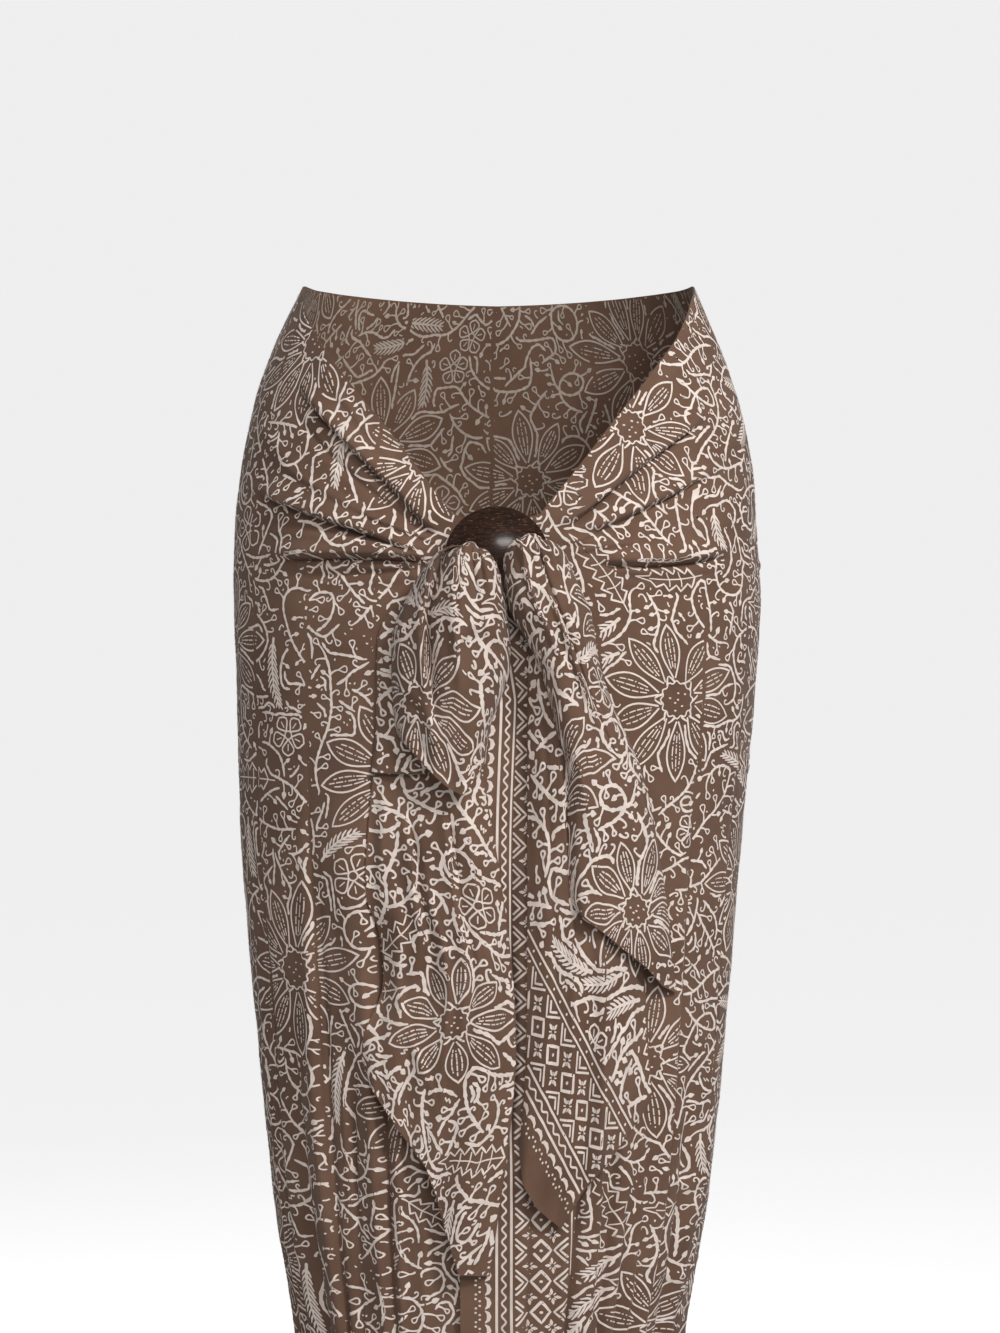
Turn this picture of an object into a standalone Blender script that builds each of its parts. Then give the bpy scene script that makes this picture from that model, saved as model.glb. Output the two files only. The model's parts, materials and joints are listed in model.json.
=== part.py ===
"""Sarong worn low on the hips, its two ends drawn through a shell buckle in front.

Metres, +Z up, the front faces -Y. The origin is in the middle of the hips at the
height where the cloth is drawn tightest. Angles round the body are degrees from
the middle of the front, positive towards +X.
"""

import math

import bmesh
import bpy
import numpy as np
from mathutils import Vector
from mathutils.bvhtree import BVHTree

MM = 0.001

# Cloth and seams
WALL = 1.5 * MM
SEAM_DEGREES = 0.23
UNDER_DEPTH = 4.4
UNDER_SINKS = (-32, -15)

# Hips as the cloth goes round them: height, half width, centre, depth to front and back
RINGS = [
    # z, half_width, centre_x, front, back
    (176, 133, 1, 88, 92),
    (138, 150, 0, 95, 99),
    (97, 165, 0, 103, 108),
    (55, 174, 0, 109, 118),
    (0, 179, -1, 114, 126),
    (-41, 180, 0, 114, 130),
    (-110, 177, -1, 112, 128),
    (-193, 172, -4, 110, 121),
    (-317, 162, -4, 107, 111),
    (-455, 147, -4, 102, 104),
    (-545, 130, -5, 98, 101),
    (-700, 119, -5, 96, 100),
    (-974, 121, -4, 101, 106),
]
SQUARENESS = 2.15

# Upper edge of the cloth by angle: highest at the sides and back, a V in front
TOP_EDGE = [(8, 13), (15, 40), (25, 75), (36, 104), (54, 139), (70, 163),
            (90, 175), (110, 176), (180, 172)]
V_FOOT = 8
TOP_UNDER_ACROSS = [(-8, 13), (0, 4), (8, -10), (17, -30)]
TOP_OVER_ACROSS = [(-13, -52), (-10, -12), (-6, 0), (0, 6), (8, 13)]

# Hem by angle: level behind, rising to where the two ends lap in front
HEM_EDGE = [(-90, -974), (-60, -962), (-35, -926), (-12, -882), (8, -872),
            (30, -908), (60, -958), (90, -974)]
HEM_LEVEL = -974

# Where the lapped ends stop, by height
OVER_END = [(20, -12.6), (-109, -12.3), (-522, -10.1), (-974, -9.5)]
UNDER_END = 17.0

# Largest folds: a ridge runs from start past middle to end; angles and heights
FOLDS = [
    # a0, z0, a1, z1, a2, z2, height, width
    (-53, 105, -28, 52, -11, 1, 4.5, 8),
    (-64, 33, -40, 15, -15, -9, 3.5, 8),
    (-58, -12, -30, -12, -13, -14, 5.0, 7),
    (-50, -40, -28, -36, -16, -30, -2.5, 8),
    (56, 84, 32, 50, 12, 3, 3.0, 7),
    (53, 46, 33, 22, 17, 2, 3.0, 8),
    (60, -8, 38, -16, 20, -16, 3.0, 7),
    (62, -30, 40, -40, 22, -34, -2.0, 8),
    (-34, -150, -27, -420, -24, -910, 5.5, 14),
    (-46, -250, -44, -520, -42, -930, 4.0, 15),
    (-62, -330, -60, -620, -61, -955, 4.5, 15),
    (-17, -240, -18, -520, -17, -890, 3.0, 10),
    (8, -260, 7, -500, 6, -870, 2.5, 10),
    (21, -210, 23, -420, 25, -890, 5.0, 11),
    (31, -300, 34, -560, 36, -915, 5.5, 11),
    (46, -220, 46, -520, 50, -930, 4.0, 13),
    (63, -300, 65, -600, 64, -955, 4.5, 14),
    (82, -420, 84, -700, 82, -970, 4.0, 14),
    (-82, -400, -80, -700, -83, -970, 4.0, 14),
    (106, -180, 108, -520, 104, -970, 4.5, 16),
    (129, -230, 127, -560, 130, -970, 5.0, 16),
    (152, -180, 155, -520, 156, -970, 4.5, 16),
    (176, -210, 179, -560, 177, -970, 5.5, 17),
    (201, -190, 198, -560, 200, -970, 4.5, 16),
    (226, -220, 229, -560, 227, -970, 5.0, 16),
    (251, -200, 250, -520, 254, -970, 4.5, 16),
]
FOLD_STEPS = 10
FOLD_START_TAPER = 0.25
FOLD_END_TAPER = 0.12
FOLD_REACH = 3
BELOW_KNEE = -700
ARC_PER_DEGREE = 2.7

# Rows of the wraps: close together by the swags, wider below
SWAG_FLOOR = -60
LEAST_SWAG = 20
FRONT_SWAG_ROWS = 10
BACK_SWAG_ROWS = 5
LOWER_ROWS = 15
FRONT_COLUMNS = 24
BACK_COLUMNS = 22

# How a hanging stretch comes down over the step at the lapped edge
STEP_SLOPE = 0.35
STEP_REACH = 15 * MM
STEP_SAMPLES = 11

# Buckle: a domed disc with an oval hole on each side
DISC_CENTRE = Vector((0.0, -0.1205, -0.017))
DISC_RADIUS = 34.5 * MM
DISC_RIM = 3.0 * MM
DISC_FRONT_RISE = 9.0 * MM
DISC_BACK_RISE = 6.5 * MM
DISC_PROFILE_STEPS = 7
DISC_TURNS = 32
DISC_EDGE_EASE = 0.992
HOLE_OFFSET = 16.0 * MM
HOLE_HALF_WIDTH = 8.0 * MM
HOLE_HALF_HEIGHT = 13.0 * MM
HOLE_SIDES = 24
CUTTER_LENGTH = 60.0 * MM

# Hanging stretches: roundness of the crown, and where down the stretch the small
# waves and the shape of the lower edge set in
ARCH_POWER = 0.8
WAVES_SET_IN = (0.12, 0.3)
EDGE_SETS_IN = (0.62, 1.0)

# Finishes
CLOTH_COLOUR = (0.19, 0.125, 0.095)
CLOTH_ROUGHNESS = 0.85
SHELL_COLOUR = (0.03, 0.014, 0.009)
SHELL_ROUGHNESS = 0.3

# Each hanging stretch: stations from its upper end down. A station has the place
# of the left and right edge, how far each stands off the wrap behind it, and how
# far the middle is crowned forwards and upwards. The lower edge is its own line.
TAILS = {
    "tail_left_bundle": {
        "stations": [
            # xl, zl, off_l, xr, zr, off_r, forward, up
            (-21.4, -20, 0.9, -10.6, -20, 0.9, 0, 11),
            (-21.4, -20, 9, -10.6, -20, 9, 0, 13.8),
            (-21.4, -20, 18.5, -10.6, -20, 18.5, 0, 14),
            (-36, -22, 19, -5, -24, 22, 7, 17),
            (-46, -27, 12, -2, -30, 22, 15, 13),
            (-56, -40, 5, 0, -42, 20.5, 18, 6),
            (-68, -60, 6, 6, -61, 18, 20, 1),
            (-69, -85, 7, 9, -88, 14, 20, 0),
            (-68, -108, 8, 3, -107, 12, 16, 0),
            (-66, -129, 10, -6, -128, 11, 12, 0),
            (-64, -133, 10, -8, -150, 11, 10, 0),
        ],
        "lower_edge": [(-64, -133), (-54, -144), (-45, -154), (-33, -165), (-22, -171), (-8, -150)],
        "waves": 3, "wave_height": 2.6, "columns": 14, "rows_per_station": 2,
    },
    "tail_left_side_layer": {
        "stations": [
            (-70, -50, 0.7, -43, -50, 2.0, 1.0, 0),
            (-79, -64, 0.7, -42, -64, 2.0, 1.0, 0),
            (-79, -110, 0.9, -42, -110, 2.4, 1.2, 0),
            (-80, -138, 3.2, -44, -138, 4.4, 1.2, 0),
            (-83, -157, 4.2, -46, -158, 5.4, 1.2, 0),
        ],
        "lower_edge": [(-83, -157), (-44, -158)],
        "waves": 1, "wave_height": 0.6, "columns": 6, "rows_per_station": 2,
    },
    "tail_left_fall": {
        "stations": [
            (-80, -146, 0.7, -12, -146, 0.9, 0.3, 0),
            (-82, -163, 0.7, -9, -163, 1.2, 1.0, 0),
            (-85, -193, 0.9, -3, -193, 2.5, 6, 0),
            (-88, -240, 1.0, 5, -246, 3.5, 8, 0),
            (-76, -262, 1.2, 8, -270, 3.5, 9, 0),
            (-73, -300, 1.2, 12, -307, 3.5, 9, 0),
            (-88, -326, 1.2, 13, -350, 3.5, 9, 0),
            (-89, -346, 1.2, 8, -400, 3.0, 9, 0),
            (-86, -355, 1.2, -5, -488, 3.0, 7, 0),
        ],
        "lower_edge": [(-86, -355), (-80, -368), (-64, -392), (-47, -415), (-40, -435), (-34, -457),
                       (-25, -486), (-5, -488)],
        "waves": 3, "wave_height": 3.0, "columns": 15, "rows_per_station": 2,
    },
    "tail_right_flap": {
        "stations": [
            (10.6, -19, 0.9, 21.4, -19, 0.9, 0, 10),
            (10.6, -19, 9, 21.4, -19, 9, 0, 12.8),
            (10.6, -19, 18.5, 21.4, -19, 18.5, 0, 13.2),
            (6.5, -18, 22, 34, -16, 19, 7, 17),
            (5, -22, 22, 43, -18, 12, 14, 11),
            (4.5, -32, 21, 51, -30, 5, 15, 4),
            (9, -52, 19, 61, -50, 5, 15, 0),
            (15, -62, 18, 63, -62, 6, 13, 0),
            (30, -88, 17, 67, -90, 7, 9, 0),
            (38, -125, 16, 81, -125, 7, 8, 0),
            (48, -156, 15, 96, -155, 5, 8, 0),
            (46, -187, 15, 103, -187, 4, 8, 0),
            (47, -239, 14, 112, -240, 3, 7, 0),
            (50, -243, 14, 119, -304, 2, 5, 0),
        ],
        "lower_edge": [(50, -243), (57, -251), (72, -263), (82, -272), (99, -286), (109, -298),
                       (119, -304)],
        "waves": 2, "wave_height": 2.2, "columns": 12, "rows_per_station": 2,
    },
    "tail_right_fall": {
        "stations": [
            (22, -57, 1.0, 56, -57, 0.8, 2, 0),
            (20, -100, 1.6, 68, -100, 0.8, 4, 0),
            (20, -155, 1.6, 82, -155, 0.8, 5, 0),
            (20, -207, 1.6, 90, -207, 0.8, 5, 0),
            (20, -250, 1.6, 95, -250, 0.8, 5, 0),
            (20, -304, 2.0, 98, -304, 0.9, 6, 0),
            (19, -354, 2.2, 101, -354, 1.0, 7, 0),
            (17, -380, 2.2, 103, -372, 1.0, 7, 0),
            (15, -406, 2.2, 98, -380, 1.0, 6, 0),
        ],
        "lower_edge": [(15, -406), (17, -426), (26, -442), (42, -456), (57, -431), (74, -411), (98, -380)],
        "waves": 2, "wave_height": 2.4, "columns": 13, "rows_per_station": 2,
    },
}


def table_value(table, key, column=1):
    """Smooth value of a table column at a key, the table sorted by its first column."""
    rows = sorted(table)
    keys = [row[0] for row in rows]
    values = [row[column] for row in rows]
    slopes = np.gradient(values, keys)
    key = min(max(key, keys[0]), keys[-1])
    i = min(max(int(np.searchsorted(keys, key)) - 1, 0), len(keys) - 2)
    span = keys[i + 1] - keys[i]
    t = (key - keys[i]) / span
    start = (1 + 2 * t) * (1 - t) ** 2 * values[i] + t * (1 - t) ** 2 * span * slopes[i]
    end = t * t * (3 - 2 * t) * values[i + 1] + t * t * (t - 1) * span * slopes[i + 1]
    return start + end


def line_value(table, key, column=1):
    """Straight-line value of a table column at a key."""
    rows = sorted(table)
    return float(np.interp(key, [row[0] for row in rows], [row[column] for row in rows]))


def smooth(low, high, value):
    """0 below low, 1 above high, and a soft step between them."""
    t = min(max((value - low) / (high - low), 0.0), 1.0)
    return t * t * (3 - 2 * t)


def fold_curves():
    """The folds as sampled ridge lines: arc and height in millimetres, with sizes."""
    curves = []
    for a0, z0, a1, z1, a2, z2, height, width in FOLDS:
        t = np.linspace(0, 1, FOLD_STEPS + 1)
        bend_a = 2 * a1 - (a0 + a2) / 2
        bend_z = 2 * z1 - (z0 + z2) / 2
        arc = ((1 - t) ** 2 * a0 + 2 * t * (1 - t) * bend_a + t * t * a2) * ARC_PER_DEGREE
        up = (1 - t) ** 2 * z0 + 2 * t * (1 - t) * bend_z + t * t * z2
        curves.append((arc, up, t, height, width))
    return curves


FOLD_CURVES = fold_curves()


def relief(angle, z):
    """How far the folds lift the cloth at an angle and a height, in millimetres.

    A fold that ends below the knee runs out over the hem; the others die away.
    """
    total = 0.0
    for turn in (-360, 0, 360):
        arc = (angle + turn) * ARC_PER_DEGREE
        for arcs, ups, t, height, width in FOLD_CURVES:
            run_a = np.diff(arcs)
            run_z = np.diff(ups)
            along = (arc - arcs[:-1]) * run_a + (z - ups[:-1]) * run_z
            share = np.clip(along / (run_a ** 2 + run_z ** 2), 0, 1)
            dist = np.hypot(arcs[:-1] + share * run_a - arc, ups[:-1] + share * run_z - z)
            near = int(np.argmin(dist))
            if dist[near] > FOLD_REACH * width:
                continue
            place = t[near] + share[near] / FOLD_STEPS
            ends = min(1.0, place / FOLD_START_TAPER)
            if ups[-1] > BELOW_KNEE:
                ends *= min(1.0, (1 - place) / FOLD_END_TAPER)
            total += height * ends * math.exp(-(dist[near] / width) ** 2)
    return total


def hip_point(angle, z, out=0.0):
    """A point on the form that the cloth goes round; angle in degrees, z and out in mm."""
    half = table_value(RINGS, z, 1) + out
    centre = table_value(RINGS, z, 2)
    turn = math.radians(angle)
    side = math.sin(turn)
    ahead = math.cos(turn)
    depth = table_value(RINGS, z, 3 if ahead > 0 else 4) + out
    power = 2 / SQUARENESS
    x = centre + half * math.copysign(abs(side) ** power, side)
    y = -depth * math.copysign(abs(ahead) ** power, ahead)
    return Vector((x, y, z)) * MM


def row_height(top, hem, v, swag_rows):
    """Height of a row: v is 1 at the upper edge and 0 at the hem."""
    row = (1 - v) * (swag_rows + LOWER_ROWS)
    floor = min(SWAG_FLOOR, top - LEAST_SWAG)
    if row <= swag_rows:
        return top + (floor - top) * row / swag_rows
    return floor + (hem - floor) * (row - swag_rows) / LOWER_ROWS


def wrap_back(u, v):
    angle = 90 + SEAM_DEGREES + (180 - 2 * SEAM_DEGREES) * u
    top = table_value(TOP_EDGE, min(angle, 360 - angle))
    z = row_height(top, HEM_LEVEL, v, BACK_SWAG_ROWS)
    return hip_point(angle, z, relief(angle, z))


def wrap_under(u, v):
    angle = -90 + (UNDER_END + 90) * u
    if angle < -V_FOOT:
        top = table_value(TOP_EDGE, -angle)
    else:
        top = line_value(TOP_UNDER_ACROSS, angle)
    hem = table_value(HEM_EDGE, angle)
    z = row_height(top, hem, v, FRONT_SWAG_ROWS)
    sunk = UNDER_DEPTH * smooth(*UNDER_SINKS, angle)
    return hip_point(angle, z, relief(angle, z) - sunk)


def wrap_over(u, v):
    first = OVER_END[0][1]
    angle = first + (90 - first) * u
    if angle > V_FOOT:
        top = table_value(TOP_EDGE, angle)
    else:
        top = line_value(TOP_OVER_ACROSS, angle)
    hem = table_value(HEM_EDGE, angle)
    z = row_height(top, hem, v, FRONT_SWAG_ROWS)
    edge = line_value(OVER_END, z)
    angle = edge + (90 - edge) * u
    return hip_point(angle, z, relief(angle, z))


def sheet_object(name, surface, columns, rows, material, collection):
    """An open sheet from a surface function, thickened outwards into a cloth wall."""
    bm = bmesh.new()
    bmesh.ops.create_grid(bm, x_segments=columns, y_segments=rows, size=1.0)
    for vert in bm.verts:
        vert.co = surface((vert.co.x + 1) / 2, (vert.co.y + 1) / 2)
    mesh = bpy.data.meshes.new(name)
    bm.to_mesh(mesh)
    bm.free()
    mesh.shade_smooth()
    mesh.materials.append(material)
    obj = bpy.data.objects.new(name, mesh)
    collection.objects.link(obj)
    wall = obj.modifiers.new("wall", "SOLIDIFY")
    wall.thickness = WALL
    wall.offset = 1.0
    return obj


def front_finder(wraps):
    """A function that gives how far forward the wrapped cloth comes at x and z."""
    bpy.context.view_layer.update()
    depsgraph = bpy.context.evaluated_depsgraph_get()
    trees = [BVHTree.FromObject(wrap, depsgraph) for wrap in wraps]

    def front(x, z):
        reach = np.linspace(-STEP_REACH, STEP_REACH, STEP_SAMPLES)
        depths = []
        for shift in reach:
            for tree in trees:
                hit = tree.ray_cast(Vector((x + shift, -1, z)), Vector((0, 1, 0)))[0]
                if hit is not None:
                    depths.append(hit.y + STEP_SLOPE * abs(shift))
        return min(depths)

    return front


def line_point(line, t):
    """The point at share t of the number of stretches of a line."""
    place = t * (len(line) - 1)
    i = min(int(place), len(line) - 2)
    f = place - i
    return [line[i][k] + (line[i + 1][k] - line[i][k]) * f for k in range(len(line[0]))]


def tail_surface(tail, front):
    """The surface of a hanging stretch, v from 1 at its upper end to 0 at its lower edge."""
    stations = tail["stations"]
    last = stations[-1]

    def surface(u, v):
        down = 1 - v
        xl, zl, off_l, xr, zr, off_r, forward, up = line_point(stations, down)
        edge = smooth(*EDGE_SETS_IN, down)
        bx, bz = line_point(tail["lower_edge"], u)
        x = xl + (xr - xl) * u + edge * (bx - last[0] - (last[3] - last[0]) * u)
        z = zl + (zr - zl) * u + edge * (bz - last[1] - (last[4] - last[1]) * u)
        arch = math.sin(math.pi * u) ** ARCH_POWER
        wave = 0.5 - 0.5 * math.cos(2 * math.pi * tail["waves"] * u)
        rise = forward * arch + tail["wave_height"] * wave * smooth(*WAVES_SET_IN, down)
        y = front(x * MM, z * MM) - (off_l + (off_r - off_l) * u + rise) * MM
        return Vector((x * MM, y, (z + up * arch) * MM))

    return surface


def disc_profile():
    """Front and back of the domed disc as a closed line of radius and depth."""
    line = []
    for i in range(DISC_PROFILE_STEPS + 1):
        r = i / DISC_PROFILE_STEPS
        line.append((DISC_RADIUS * r * DISC_EDGE_EASE, DISC_RIM + DISC_FRONT_RISE * (1 - r * r)))
    line.append((DISC_RADIUS, DISC_RIM * 0.5))
    for i in range(DISC_PROFILE_STEPS, -1, -1):
        r = i / DISC_PROFILE_STEPS
        line.append((DISC_RADIUS * r * DISC_EDGE_EASE, DISC_BACK_RISE * (1 - r * r)))
    return line


def buckle(material, collection, cutters):
    """The shell buckle: a turned dome with two oval holes cut through it."""
    bm = bmesh.new()
    verts = [bm.verts.new((r, 0, d)) for r, d in disc_profile()]
    for a, b in zip(verts, verts[1:]):
        bm.edges.new((a, b))
    bmesh.ops.spin(bm, geom=bm.verts[:] + bm.edges[:], axis=(0, 0, 1), cent=(0, 0, 0),
                   angle=2 * math.pi, steps=DISC_TURNS, use_merge=True)
    bmesh.ops.remove_doubles(bm, verts=bm.verts, dist=0.00005)
    bmesh.ops.recalc_face_normals(bm, faces=bm.faces)
    mesh = bpy.data.meshes.new("shell_buckle")
    bm.to_mesh(mesh)
    bm.free()
    mesh.shade_smooth()
    mesh.materials.append(material)
    disc = bpy.data.objects.new("shell_buckle", mesh)
    disc.location = DISC_CENTRE
    disc.rotation_euler = (math.radians(90), 0, 0)
    collection.objects.link(disc)
    for side in (-1, 1):
        hole = oval_cutter("hole_cutter", side * HOLE_OFFSET, cutters)
        cut = disc.modifiers.new("hole", "BOOLEAN")
        cut.operation = "DIFFERENCE"
        cut.solver = "EXACT"
        cut.object = hole
    return disc


def oval_cutter(name, x, collection):
    """A cutter for one hole: an oval bar along the disc's axis."""
    bm = bmesh.new()
    bmesh.ops.create_cone(bm, cap_ends=True, segments=HOLE_SIDES, radius1=1, radius2=1, depth=1)
    for vert in bm.verts:
        vert.co = (vert.co.x * HOLE_HALF_WIDTH, vert.co.y * HOLE_HALF_HEIGHT, vert.co.z * CUTTER_LENGTH)
    mesh = bpy.data.meshes.new(name)
    bm.to_mesh(mesh)
    bm.free()
    cutter = bpy.data.objects.new(name, mesh)
    cutter.location = DISC_CENTRE + Vector((x, 0, 0))
    cutter.rotation_euler = (math.radians(90), 0, 0)
    cutter.hide_render = True
    cutter.display_type = "WIRE"
    collection.objects.link(cutter)
    return cutter


def material(name, colour, roughness, metallic=0.0):
    """A plain finish."""
    mat = bpy.data.materials.new(name)
    mat.use_nodes = True
    shader = mat.node_tree.nodes["Principled BSDF"]
    shader.inputs["Base Color"].default_value = (*colour, 1.0)
    shader.inputs["Roughness"].default_value = roughness
    shader.inputs["Metallic"].default_value = metallic
    return mat


def main():
    for obj in list(bpy.data.objects):
        bpy.data.objects.remove(obj, do_unlink=True)
    collection = bpy.data.collections.new("sarong")
    cutters = bpy.data.collections.new("cutters")
    bpy.context.scene.collection.children.link(collection)
    bpy.context.scene.collection.children.link(cutters)

    front_rows = FRONT_SWAG_ROWS + LOWER_ROWS
    back_rows = BACK_SWAG_ROWS + LOWER_ROWS
    sheets = [
        ("wrap_back", wrap_back, BACK_COLUMNS, back_rows),
        ("wrap_front_under", wrap_under, FRONT_COLUMNS, front_rows),
        ("wrap_front_over", wrap_over, FRONT_COLUMNS, front_rows),
    ]
    wraps = []
    for name, surface, columns, rows in sheets:
        cloth = material(name + "_cloth", CLOTH_COLOUR, CLOTH_ROUGHNESS)
        wraps.append(sheet_object(name, surface, columns, rows, cloth, collection))
    front = front_finder(wraps[1:])
    for name, tail in TAILS.items():
        cloth = material(name + "_cloth", CLOTH_COLOUR, CLOTH_ROUGHNESS)
        rows = tail["rows_per_station"] * (len(tail["stations"]) - 1)
        sheet_object(name, tail_surface(tail, front), tail["columns"], rows, cloth, collection)
    buckle(material("shell_buckle_shell", SHELL_COLOUR, SHELL_ROUGHNESS), collection, cutters)


main()
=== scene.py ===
"""Looks of a worn sarong: thin creased cloth, its wax-resist print, and the shell buckle."""

import json
import math
import random

import bmesh
import bpy
import numpy as np
from mathutils import Matrix, Vector
from mathutils.bvhtree import BVHTree
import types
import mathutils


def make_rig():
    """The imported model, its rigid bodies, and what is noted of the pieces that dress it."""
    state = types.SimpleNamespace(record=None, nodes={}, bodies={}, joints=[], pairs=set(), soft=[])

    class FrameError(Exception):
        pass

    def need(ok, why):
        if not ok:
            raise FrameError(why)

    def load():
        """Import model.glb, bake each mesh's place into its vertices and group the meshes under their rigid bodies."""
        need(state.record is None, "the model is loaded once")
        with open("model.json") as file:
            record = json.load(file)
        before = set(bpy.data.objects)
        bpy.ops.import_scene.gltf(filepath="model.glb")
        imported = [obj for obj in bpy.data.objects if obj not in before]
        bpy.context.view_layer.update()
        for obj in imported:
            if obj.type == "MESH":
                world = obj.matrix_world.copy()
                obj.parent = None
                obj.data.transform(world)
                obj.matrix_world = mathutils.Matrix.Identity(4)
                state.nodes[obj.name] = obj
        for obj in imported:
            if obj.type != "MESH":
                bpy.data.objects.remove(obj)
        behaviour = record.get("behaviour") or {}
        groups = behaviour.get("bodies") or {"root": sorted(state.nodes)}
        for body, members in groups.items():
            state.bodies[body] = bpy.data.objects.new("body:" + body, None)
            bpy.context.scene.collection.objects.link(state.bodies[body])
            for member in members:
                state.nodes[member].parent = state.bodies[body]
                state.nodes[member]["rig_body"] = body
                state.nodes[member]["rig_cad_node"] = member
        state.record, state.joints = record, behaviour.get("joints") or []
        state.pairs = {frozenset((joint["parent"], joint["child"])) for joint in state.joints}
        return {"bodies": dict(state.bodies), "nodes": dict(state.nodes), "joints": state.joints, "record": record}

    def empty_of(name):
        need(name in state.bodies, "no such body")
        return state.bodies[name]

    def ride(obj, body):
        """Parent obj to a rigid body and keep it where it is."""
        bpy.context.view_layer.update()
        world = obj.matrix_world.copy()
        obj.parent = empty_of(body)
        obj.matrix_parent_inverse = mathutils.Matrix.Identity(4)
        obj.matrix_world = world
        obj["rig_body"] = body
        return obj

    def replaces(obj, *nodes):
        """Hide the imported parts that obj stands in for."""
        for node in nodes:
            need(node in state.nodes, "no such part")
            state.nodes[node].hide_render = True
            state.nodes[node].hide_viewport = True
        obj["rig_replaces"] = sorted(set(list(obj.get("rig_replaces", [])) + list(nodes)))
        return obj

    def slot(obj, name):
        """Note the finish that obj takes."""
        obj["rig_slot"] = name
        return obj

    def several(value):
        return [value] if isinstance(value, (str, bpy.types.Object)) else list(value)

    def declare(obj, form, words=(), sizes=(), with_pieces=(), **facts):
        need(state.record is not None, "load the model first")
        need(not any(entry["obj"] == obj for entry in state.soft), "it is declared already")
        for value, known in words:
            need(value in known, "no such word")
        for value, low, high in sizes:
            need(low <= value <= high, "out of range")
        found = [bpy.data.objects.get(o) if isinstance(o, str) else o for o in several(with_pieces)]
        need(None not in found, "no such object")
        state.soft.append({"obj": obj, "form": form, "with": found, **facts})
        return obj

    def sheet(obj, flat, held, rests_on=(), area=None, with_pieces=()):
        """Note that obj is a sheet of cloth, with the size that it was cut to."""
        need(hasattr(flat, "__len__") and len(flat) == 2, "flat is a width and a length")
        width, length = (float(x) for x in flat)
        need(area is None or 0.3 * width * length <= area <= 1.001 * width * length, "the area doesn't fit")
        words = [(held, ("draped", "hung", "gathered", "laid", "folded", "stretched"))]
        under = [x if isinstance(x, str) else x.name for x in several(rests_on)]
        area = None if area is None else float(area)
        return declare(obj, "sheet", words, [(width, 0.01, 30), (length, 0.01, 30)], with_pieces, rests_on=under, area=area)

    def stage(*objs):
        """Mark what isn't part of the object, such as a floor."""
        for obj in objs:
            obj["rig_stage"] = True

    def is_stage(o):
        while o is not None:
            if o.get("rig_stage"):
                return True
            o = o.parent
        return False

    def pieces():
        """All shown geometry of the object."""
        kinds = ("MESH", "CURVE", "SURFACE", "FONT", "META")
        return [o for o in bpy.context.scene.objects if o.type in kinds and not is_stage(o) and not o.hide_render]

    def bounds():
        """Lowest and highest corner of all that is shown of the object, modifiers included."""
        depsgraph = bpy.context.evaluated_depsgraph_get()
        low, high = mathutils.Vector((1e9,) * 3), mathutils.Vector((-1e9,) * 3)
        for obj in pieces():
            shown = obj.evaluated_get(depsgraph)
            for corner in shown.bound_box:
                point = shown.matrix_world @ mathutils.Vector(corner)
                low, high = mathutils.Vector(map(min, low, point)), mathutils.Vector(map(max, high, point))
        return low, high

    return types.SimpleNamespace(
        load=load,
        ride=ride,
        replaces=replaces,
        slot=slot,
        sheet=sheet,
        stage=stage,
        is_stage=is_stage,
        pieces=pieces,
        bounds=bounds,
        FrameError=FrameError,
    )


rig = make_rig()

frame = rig.load()
CAD_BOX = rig.bounds()

MM = 0.001

# Cloth as it is seen: a thin shell inside the space of the solid wall
CLOTH_INSET = 0.5
CLOTH_THICKNESS = 0.5
PRINT_LIFT = 0.3
UNDER_DEPTH = 4.4
UNDER_SINKS = (-32, -15)
SEAM_DEGREES = 0.08

RINGS = [
    # z, half_width, centre_x, front, back
    (176, 133, 1, 88, 92),
    (138, 150, 0, 95, 99),
    (97, 165, 0, 103, 108),
    (55, 174, 0, 109, 118),
    (0, 179, -1, 114, 126),
    (-41, 180, 0, 114, 130),
    (-110, 177, -1, 112, 128),
    (-193, 172, -4, 110, 121),
    (-317, 162, -4, 107, 111),
    (-455, 147, -4, 102, 104),
    (-545, 130, -5, 98, 101),
    (-700, 119, -5, 96, 100),
    (-974, 121, -4, 101, 106),
]
SQUARENESS = 2.15
HIP_Z = -41

TOP_EDGE = [(8, 13), (15, 40), (25, 75), (36, 104), (54, 139), (70, 163),
            (90, 175), (110, 176), (180, 172)]
V_FOOT = 8
TOP_UNDER_ACROSS = [(-8, 13), (0, 4), (8, -10), (17, -30)]
TOP_OVER_ACROSS = [(-13, -52), (-10, -12), (-6, 0), (0, 6), (8, 13)]
HEM_EDGE = [(-90, -974), (-60, -962), (-35, -926), (-12, -882), (8, -872),
            (30, -908), (60, -958), (90, -974)]
HEM_LEVEL = -974
OVER_END = [(20, -12.6), (-50, -9.0), (-109, -5.6), (-300, -5.8), (-522, -7.2), (-974, -6.9)]
UNDER_END = 17.0
ARC_PER_DEGREE = 2.7

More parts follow.
